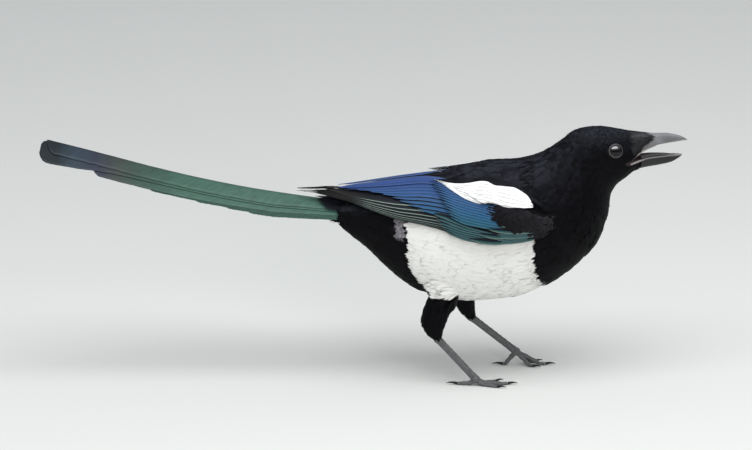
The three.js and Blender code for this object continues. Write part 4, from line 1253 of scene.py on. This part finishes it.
def loose_feathers(name, sheet, rows, outward=1):
    """Feathers laid on a sheet; rows of root x, tip x, place aside, half width and base height."""
    points, faces, vane, tone, uv, under, start = [], [], [], [], [], [], 0
    for i, (root, tip, aside, half, base) in enumerate(rows):
        p, v, f = long_shapes[i % len(long_shapes)]
        x = root + (tip - root) * p[:, 0]
        across = aside + p[:, 1] * half / 0.3
        placed = sheet(x, across, base + outward * p[:, 2] * 3)
        normal = sheet_normal(sheet, x, across, outward)
        corners = placed[np.array([k[:3] for k in f])]
        facing = np.cross(corners[:, 1] - corners[:, 0], corners[:, 2] - corners[:, 0])
        turned = (facing * normal[[k[0] for k in f]]).sum(1) < 0
        faces += [tuple(k + start for k in (face[::-1] if flip else face)) for face, flip in zip(f, turned)]
        start += len(p)
        points.append(placed)
        under.append(normal)
        vane.append(v)
        tone.append(np.full(len(p), ragged.uniform(0.3, 1.2)))
        strip = 0.05 + 0.1 * (i % 9 + 0.5) + v[:, 1] * 0.04
        uv.append(np.stack([strip, 0.05 + (i // 9 + v[:, 0]) / 12], -1))
    feather_piece(name, np.concatenate(points), faces, plumage, "body_feathers", np.concatenate(uv),
                  closed=False, vane=np.concatenate(vane), under=np.concatenate(under),
                  tone=np.concatenate(tone), feather_white=np.zeros(start), feather_grey=np.zeros(start))


def shoulder_rows():
    """Black shoulder feathers from the white patch's upper edge to the back."""
    rows = []
    for root, tip, base in ((128, 104, 2.6), (116, 90, 2.9), (104, 77, 3.0), (94, 64, 2.3), (84, 50, 1.5)):
        for v in np.arange(0.76, 1.01, 0.045):
            end = tip - 34 * max(0, v - 0.8) if tip < 60 else tip - 10 * (v - 0.75)
            middle = 0.55 * root + 0.45 * end
            low = SHOULDER(np.array(middle))[1] + 0.03
            place = low + (1.0 - low) * (v - 0.76) / 0.25
            rows.append((root + ragged.normal(0, 1), end + ragged.normal(0, 1.2), place, 0.04,
                         base - 2.4 * min(1, (place - 0.7) / 0.2) + 1.2 * (v - 0.76)))
    return rows


long_shapes = [feather_arrays(contour_feather(f"long_feather_{i}", 21, 0.3, 31 + i).data) for i in range(5)]
shoulders = shoulder_rows()
loose_feathers("shoulder_feathers_right", wing_point, shoulders)
loose_feathers("shoulder_feathers_left", left_wing_point, shoulders)
mantle_rows = [(root - 2.5 * abs(a) / 5, tip + 1.6 * abs(a), a, 3.4, base - 0.16 * abs(a))
               for root, tip, base in ((98, 62, 0.0), (90, 50, 0.3), (82, 38, 0.5))
               for a in (-10, -7.5, -5, -2.5, 0, 2.5, 5, 7.5, 10)]
loose_feathers("mantle_feathers", mantle_sheet, mantle_rows)
upper_coverts = [(4 - 4 * row, -25 - 6 * row + abs(a) * 0.5, a, 4.2, 3.2 - 0.3 * row - 0.03 * abs(a))
                 for row in range(3) for a in np.linspace(-13 + row, 13 - row, 7)]
under_coverts = [(6 - 4 * row, -18 - 7 * row + abs(a) * 0.4, a, 4.6, -8.6 + 0.6 * row)
                 for row in range(3) for a in np.linspace(-13 + row, 13 - row, 6)]
loose_feathers("tail_coverts_upper", tail_point, upper_coverts)
loose_feathers("tail_coverts_under", tail_point, under_coverts, outward=-1)

# The bill: two horn sheaths over bone, black with a painted grey reflection of the sky on the upper one and a
# painted highlight along its ridge, hooked a little at the tip. Between them lie the tongue and the soft
# edges of the gape. Rows of x, z of the outer edge, z of the cutting edge and half width.
UPPER_BILL = [[231.3, 179.3, 178.9, 0.35], [228.6, 181, 178.9, 1.3], [223.6, 182.8, 178.4, 2.4],
              [216.4, 184, 177.6, 3.7], [209, 183.9, 176.3, 4.9], [204, 183.9, 174.4, 5.6],
              [200.2, 184, 172.9, 6], [198.2, 183.8, 172, 6]]
LOWER_BILL = [[227.8, 167.7, 168.3, 0.3], [225.5, 165.7, 168.4, 1.3], [220, 162.5, 168.2, 2.6],
              [212.8, 160.7, 167.8, 3.7], [205.6, 159.3, 167.1, 4.7], [199.9, 157.9, 165.8, 5.3]]
PALATE = 0.9
BILL_ROOT = 200.2
# The root's slant, millimetres forward for each millimetre up
LEAN = 2.2 / 27.1
# Black horn, and the grey of the sky's reflection that is painted on the upper bill
BLACK_HORN, PAINTED_REFLECTION_GREY = (0.006, 0.006, 0.007), (0.3, 0.3, 0.315)


def bill_half(name, rows, node, bloom):
    shape = profile(rows)
    tip, root = rows[0][0], rows[-1][0]
    rings = []
    for i in range(61):
        x = root + (tip - root) * math.sin(i / 60 * math.pi / 2)
        outer, edge, half = shape(np.array(x))
        angle = np.linspace(0, math.pi, 33)
        y = half * np.sign(np.cos(angle)) * np.abs(np.cos(angle)) ** 0.92
        z = edge + (outer - edge) * np.sin(angle) ** 0.8
        share = np.linspace(-1, 1, 17)[1:-1]
        hollow = PALATE * min(1, abs(outer - edge) / 5) * (1 - share ** 2)
        y = np.concatenate([y, share * half])
        z = np.concatenate([z, edge + np.sign(outer - edge) * hollow])
        lean = (1 - min(1, 3 * (x - root) / (tip - root))) * LEAN * (z - 184.4)
        rings.append(np.stack([x + lean, y, z], -1))
    bill = mesh_object(name, *loft(rings))
    p = vertices(bill)
    outer, edge, half = shape(p[:, 0]).T
    above = np.abs(p[:, 2] - edge)
    ridge = step(0.75, 1.0, above / np.maximum(np.abs(outer - edge), 0.1))
    put_attributes(bill.data, bloom=np.full(len(p), float(bloom)), edge=step(1.0, 0.45, above), ridge=ridge)
    bill.data.materials.append(horn)
    fit(bill, "bill", node)


def horn_material(name):
    """Black horn with long fine grain, with a painted grey reflection in patches and a painted highlight on
    the ridge, where the attributes say.
    """
    material, tree, shader = new_finish(name, 0.4, 0.35)
    stretch = tree.nodes.new("ShaderNodeMapping")
    stretch.inputs["Scale"].default_value = (60, 500, 500)
    tree.links.new(object_place(tree), stretch.inputs["Vector"])
    grain = add_noise(tree, 1, 5, stretch.outputs[0])
    # Painted reflection: grey patches of sky on the upper bill, where the attribute says
    grey = attribute(tree, "bloom")
    patches = add_math(tree, "MULTIPLY", add_noise(tree, 130), 1.1, clamp=True)
    colour = add_mix(tree, add_math(tree, "MULTIPLY", patches, grey), BLACK_HORN, PAINTED_REFLECTION_GREY)
    colour = add_mix(tree, add_math(tree, "MULTIPLY", grain, 0.5), colour, (0.018, 0.018, 0.02))
    # Painted highlight: pale grey along the top of the upper bill's ridge
    shine = add_math(tree, "MULTIPLY", attribute(tree, "ridge"), grey)
    colour = add_mix(tree, add_math(tree, "MULTIPLY", shine, 0.5), colour, (0.24, 0.24, 0.27))
    worn = add_math(tree, "MULTIPLY", attribute(tree, "edge"), 0.85)
    paint(tree, add_mix(tree, worn, colour, (0.27, 0.25, 0.25)), shader)
    tree.links.new(add_math(tree, "MULTIPLY_ADD", grain, 0.25, 0.26), shader.inputs["Roughness"])
    add_bump(tree, shader, grain, 0.25, 0.0002)
    return material


horn = horn_material("bill_horn")
# The upper bill takes the painted reflection in full, the lower bill hardly at all
bill_half("bill_upper_horn", UPPER_BILL, "bill_upper", 1)
bill_half("bill_lower_horn", LOWER_BILL, "bill_lower", 0.03)

# The tongue: narrow, flat and horny with a shallow groove, dark grey-pink. It lies in the lower bill.
# Rows of x, z, half width and half thickness.
TONGUE = [[218, 168.8, 0.35, 0.3], [214, 168.8, 1.1, 0.4], [206, 168.7, 1.9, 0.5], [199, 168, 2.2, 0.6],
          [193.4, 166.7, 2.2, 0.6]]


def flesh_material(name, colour, other, roughness):
    material, tree, shader = new_finish(name, roughness)
    mottle = add_noise(tree, 700, 4)
    paint(tree, add_mix(tree, mottle, colour, other), shader)
    add_bump(tree, shader, mottle, 0.3, 0.0002)
    return material


def make_tongue():
    shape = profile(TONGUE)
    rings = []
    for i in range(31):
        x = TONGUE[-1][0] + (TONGUE[0][0] - TONGUE[-1][0]) * i / 30
        z, half, thick = shape(np.array(x))
        angle = np.linspace(0, 2 * math.pi, 28, endpoint=False)
        groove = 0.35 * np.exp(-(np.cos(angle) / 0.3) ** 2) * (np.sin(angle) > 0) * thick
        rings.append(np.stack([x + 0 * angle, half * np.cos(angle), z + thick * np.sin(angle) - groove], -1))
    tongue = mesh_object("tongue_flesh", *loft(rings))
    finish = flesh_material("tongue_skin", (0.10, 0.075, 0.075), (0.05, 0.04, 0.042), 0.35)
    tongue.data.materials.append(finish)
    fit(tongue, "mouth", "tongue")


make_tongue()

# The gape: the soft grey-pink edge of the mouth, from the bill's cutting edges back to a swollen corner.
# Rows of x, y on the left, z and thickness.
GAPE_UPPER = [[209, 5, 176.3, 0.3], [204, 5.7, 174.4, 0.45], [200.6, 6.2, 172.9, 0.5],
              [198.4, 6.5, 171.7, 0.55], [194.6, 7.7, 169, 0.6], [191.2, 8.9, 166.5, 0.7],
              [189.2, 9.7, 165.2, 0.8]]
GAPE_LOWER = [[200.6, 5.2, 165.7, 0.4], [198.2, 6.2, 165.3, 0.6], [194.6, 8, 164.5, 0.8],
              [191.6, 9.3, 164, 1.1], [189.4, 9.9, 164, 1.3], [187.9, 10, 164.2, 0.9]]


def make_gape():
    tubes = []
    for rows in (GAPE_UPPER, GAPE_LOWER):
        for side in (1, -1):
            line = np.array(rows) * [1, side, 1, 1]
            tubes.append(loft(tube_rings(np.concatenate([line, line[:, 3:] * 0.8], 1), 36, 12)))
    gape = mesh_object("gape_skin", *merged(tubes))
    gape.data.materials.append(flesh_material("gape_pink", (0.3, 0.27, 0.27), (0.17, 0.15, 0.155), 0.4))
    fit(gape, "mouth")


make_gape()

# The nasal bristles: stiff fine feathers from the forehead and the lores, which lie forward over the
# nostrils and the root of the bill. First is how far forward they reach, at each angle up from the
# cutting edge; then how the face widens behind the bill, aside, up and down for each millimetre back.
BRISTLE_REACH = [[5, 199], [9, 201.4], [18, 206.5], [38, 210.4], [58, 209], [75, 204.8], [90, 201.4]]
FACE_FLARE = (0.13, -0.73, 0.42)
BRISTLE_COUNT, BRISTLE_RINGS = 900, 6


def bristle_rings(shape, root, tip, side, turn, swing, layer):
    """One bristle over the face and the bill, as thin three-sided rings."""
    rings = []
    for s in np.linspace(0, 1, BRISTLE_RINGS):
        x = root + (tip - root) * s
        behind = max(0.0, BILL_ROOT - x)
        outer, edge, half = shape(np.array(max(x, BILL_ROOT))) + behind * np.array(FACE_FLARE)
        clear = 0.1 + 0.3 * layer * (1 - s) + 0.22 * math.sin(math.pi * s)
        here = max(0.03, turn + swing * s)
        y = side * (half + clear) * math.cos(here)
        z = edge + (outer - edge + clear) * math.sin(here) ** 0.8
        thick = 0.2 * (1 - s ** 1.6) + 0.03
        angle = np.array([0, 2.1, 4.2])
        rings.append(np.stack([x + 0 * angle, y + thick * np.cos(angle), z + thick * np.sin(angle)], -1))
    return rings


def bristle_material():
    material, tree, shader = new_finish("bristle_black", 0.5, 0.2)
    # Black bristles, with a pale grey tone that paints the sheen on the upper ones
    paint(tree, add_mix(tree, attribute(tree, "tone"), (0.002, 0.002, 0.003), (0.1, 0.1, 0.11)), shader)
    return material


def make_bristles():
    draw = np.random.default_rng(9)
    shape = profile(UPPER_BILL)
    parts, tone, uv = [], [], []
    for k in range(BRISTLE_COUNT):
        side = 1 if k % 2 else -1
        degrees = draw.uniform(5, 89.5)
        turn = math.radians(degrees)
        layer = draw.uniform(0, 1)
        root = 188.5 + 9.5 * layer + draw.normal(0, 0.5)
        reach = np.interp(degrees, *np.transpose(BRISTLE_REACH))
        tip = root + (reach - root) * draw.uniform(0.72, 1.0) * (0.55 + 0.45 * layer)
        parts.append(loft(bristle_rings(shape, root, tip, side, turn, draw.normal(0, 0.05), layer)))
        # Painted sheen: the bristles high on the side of the bill's root, in the outer layer, are paler
        pale = math.exp(-((degrees - 62) / 16) ** 2) * (0.3 + 0.7 * layer)
        spot = np.arange(len(parts[-1][0]))
        tone.append(np.full(len(spot), draw.uniform(0, 1) * (0.12 + 0.88 * pale)))
        place = np.array([0.1 * side + 0.5 + 0.3 * side * turn, layer])
        uv.append(place + BAKE_PATCH / 2 * np.stack([np.cos(spot), np.sin(spot)], -1))
    feather_piece("bristles", *merged(parts), bristle_material(), "body_feathers", np.concatenate(uv),
                  tone=np.concatenate(tone))


make_bristles()

# The eyes: dark brown, wet and round. Each is a whole ball set in its socket, in a thin beaded rim of
# bare grey lid.


def make_eye(name, side, node):
    centre, normal = eye_place(side)
    points, faces = ball(np.zeros(3), EYE["radius"], 64, 44)
    turn = Vector((0, 0, 1)).rotation_difference(Vector(normal)).to_matrix()
    eye = mesh_object(name, points @ np.array(turn).T + centre, faces)
    p = vertices(eye) - centre
    axis = p @ normal
    ring = np.linalg.norm(p - axis[:, None] * normal, axis=1)
    put_attributes(eye.data, ring=np.where(axis > 0, ring, 9), height=p[:, 2] - axis * normal[2])
    eye.data.materials.append(eye_brown)
    fit(eye, "eye", node)


def make_lids(name, side):
    centre, normal = eye_place(side)
    aside = unit(np.cross(normal, [0.0, 0, 1]))
    upward = np.cross(aside, normal)
    b = np.linspace(0, 2 * math.pi, 14, endpoint=False)
    rings = []
    for a in np.linspace(0, 2 * math.pi, 72, endpoint=False):
        out = aside * math.cos(a) + upward * math.sin(a)
        wide = 4.5 + 0.12 * math.cos(2 * a)
        rise = math.sqrt((EYE["radius"] + 0.12) ** 2 - wide ** 2)
        tall = 0.36 + 0.06 * math.sin(a * 34)
        middle = centre + out * (wide + 0.3) + normal * (rise - 0.05)
        bulge = out * (0.465 * np.cos(b))[:, None] + normal * (tall * np.sin(b) - 0.45 * np.cos(b))[:, None]
        rings.append(middle + bulge)
    rings.append(rings[0])
    lids = mesh_object(name, *loft(rings, closed_ends=False))
    lids.data.materials.append(lid_skin)
    fit(lids, "mouth")


def eye_material():
    material, tree, shader = new_finish("eye_brown", 0.3, 0.1)
    iris = add_ramp(tree, add_math(tree, "DIVIDE", attribute(tree, "ring"), 5), IRIS_COLOURS)
    fibres = add_math(tree, "MULTIPLY", add_noise(tree, 900), 0.5)
    paint(tree, add_mix(tree, fibres, iris, (0.004, 0.003, 0.003)), shader)
    wet = add_math(tree, "MULTIPLY_ADD", attribute(tree, "height"), 1 / 1.6, 0.15, clamp=True)
    tree.links.new(add_math(tree, "MAXIMUM", wet, 0.12), shader.inputs["Coat Weight"])
    shader.inputs["Coat Roughness"].default_value = 0.02
    shader.inputs["Coat IOR"].default_value = 2.1
    return material


# From the pupil to the white: share of the radius, colour
IRIS_COLOURS = ((0.0, (0.002, 0.002, 0.002)), (0.40, (0.002, 0.002, 0.002)), (0.46, (0.005, 0.003, 0.002)),
                (0.62, (0.011, 0.006, 0.005)), (0.78, (0.007, 0.004, 0.003)), (0.86, (0.003, 0.003, 0.003)))
eye_brown = eye_material()
lid_skin = flesh_material("lid_skin", (0.03, 0.03, 0.034), (0.075, 0.075, 0.085), 0.45)
for side_name, side in (("left", 1), ("right", -1)):
    make_eye(f"eyeball_{side_name}", side, f"eye_{side_name}")
    make_lids(f"lids_{side_name}", side)

# The shanks and feet: scaly slate-black skin over bone and sinew. Broad scutes lap down the front of the
# shank and along the tops of the toes, which swell a little at their joints. Sizes in millimetres.
ANKLE = {"right": [53.3, -20, 34.2], "left": [77.8, 18, 38.2]}
FOOT = {"right": [80.3, -21.5, 4.6], "left": [110.5, 23, 10.2]}
SHANK = (2.5, 1.9)
# Each toe's heading in degrees, length, thickness and claw length, and how much it thins to its tip
TOES = {"inner": (24, 16, 1.75, 7), "middle": (2, 23, 1.9, 8), "outer": (-20, 17, 1.75, 7),
        "hind": (176, 13, 1.9, 9)}
TOE_TIP = 0.62
TOE_HEIGHT = 0.85


def scuted(count, rise, start=0.06, end=0.95, front=-1):
    """A ring shape with lapping plates on the front, or on the top, of a tube."""
    def shape(f, angle, wide, deep):
        s = (f - start) / (end - start) * count
        lap = 0.0 if s < 0 or s > count else (s % 1) ** 0.7 - 0.9 * step(0.9, 1.0, s % 1)
        face = np.clip(front * np.cos(angle), 0, 1) ** 0.6
        return wide * (1 + 0.05 * lap), deep + front * rise * lap * face
    return shape


def leg_skin():
    material, tree, shader = new_finish("leg_skin", 0.5)
    cells = tree.nodes.new("ShaderNodeTexVoronoi")
    cells.feature = "DISTANCE_TO_EDGE"
    cells.inputs["Scale"].default_value = 900
    tree.links.new(object_place(tree), cells.inputs["Vector"])
    groove = add_math(tree, "MULTIPLY", cells.outputs[0], 9, clamp=True)
    colour = add_mix(tree, add_noise(tree, 350, 4), (0.07, 0.07, 0.075), (0.17, 0.172, 0.178))
    paint(tree, add_mix(tree, groove, (0.03, 0.03, 0.032), colour), shader)
    add_bump(tree, shader, groove, 0.4, 0.0002)
    return material


leg_finish = leg_skin()


def shank_piece(leg):
    a, b = np.array(ANKLE[leg], float), np.array(FOOT[leg], float)
    down = unit(b - a)
    start = a - down * 1.5
    f = np.linspace(0, 1, 30)
    swell = 1 + 0.25 * np.exp(-(f / 0.08) ** 2) + 0.15 * np.exp(-((1 - f) / 0.08) ** 2)
    rows = np.concatenate([start + (b - start) * f[:, None], np.outer(swell, SHANK)], 1)
    return loft(tube_rings(rows, 150, 40, scuted(9, 0.35)))


def toe_place(leg, toe):
    side = -1 if leg == "left" else 1
    heading, length, radius, _ = TOES[toe]
    turn = math.radians(heading * side)
    root = np.array(FOOT[leg], float)
    out = np.array([math.cos(turn), math.sin(turn), 0])
    end_radius = radius * TOE_TIP
    fall = root[2] - end_radius * TOE_HEIGHT
    end = root + out * math.sqrt(max(length ** 2 - fall ** 2, 1))
    end[2] = end_radius * TOE_HEIGHT
    return root, end, out, end_radius


def above_floor(rings):
    return [np.concatenate([ring[:, :2], np.maximum(ring[:, 2:], 0)], 1) for ring in rings]


def toe_piece(leg, toe):
    root, end, _, end_radius = toe_place(leg, toe)
    radius = TOES[toe][2]
    f = np.linspace(0, 1, 12)
    p = root + (end - root) * f[:, None]
    r = radius + (end_radius - radius) * f
    p[:, 2] = root[2] + (r * TOE_HEIGHT - root[2]) * np.clip(f * (3 if leg == "right" else 1.2), 0, 1)
    joints = 1 + 0.1 * np.cos(f * 2 * math.pi * 3)
    rows = np.concatenate([p, np.outer(r * joints, (1, 1))], 1)
    return loft(above_floor(tube_rings(rows, 70, 26, scuted(11, 0.22, front=1))))


def claw_piece(leg, toe):
    _, end, out, end_radius = toe_place(leg, toe)
    claw = TOES[toe][3]
    f = np.linspace(0, 1, 14)
    p = end + out * (0.3 + claw * f * 0.92)[:, None]
    r = end_radius * (0.95 + (0.16 - 0.95) * f ** 1.2)
    p[:, 2] = np.maximum(end_radius * TOE_HEIGHT + 1.1 * np.sin(f * 2.4) - 0.5 * f, r)
    rows = np.concatenate([p, np.outer(r, (1, 0.8))], 1)
    return loft(above_floor(tube_rings(rows, 30, 18)))


claw_horn = horn_material("claw_horn")
for leg in ("right", "left"):
    shank = mesh_object(f"shank_{leg}", *shank_piece(leg))
    foot_ball = ball(np.array(FOOT[leg], float), 3.2, 36, 24)
    foot = mesh_object(f"toes_{leg}", *merged([toe_piece(leg, toe) for toe in TOES] + [foot_ball]))
    for thing, node in ((shank, f"tarsus_{leg}"), (foot, f"foot_{leg}")):
        thing.data.materials.append(leg_finish)
        fit(thing, "leg", node)
    claws = mesh_object(f"claws_{leg}", *merged([claw_piece(leg, toe) for toe in TOES]))
    claws.data.materials.append(claw_horn)
    fit(claws, "claw", *[f"claw_{toe}_{leg}" for toe in TOES])
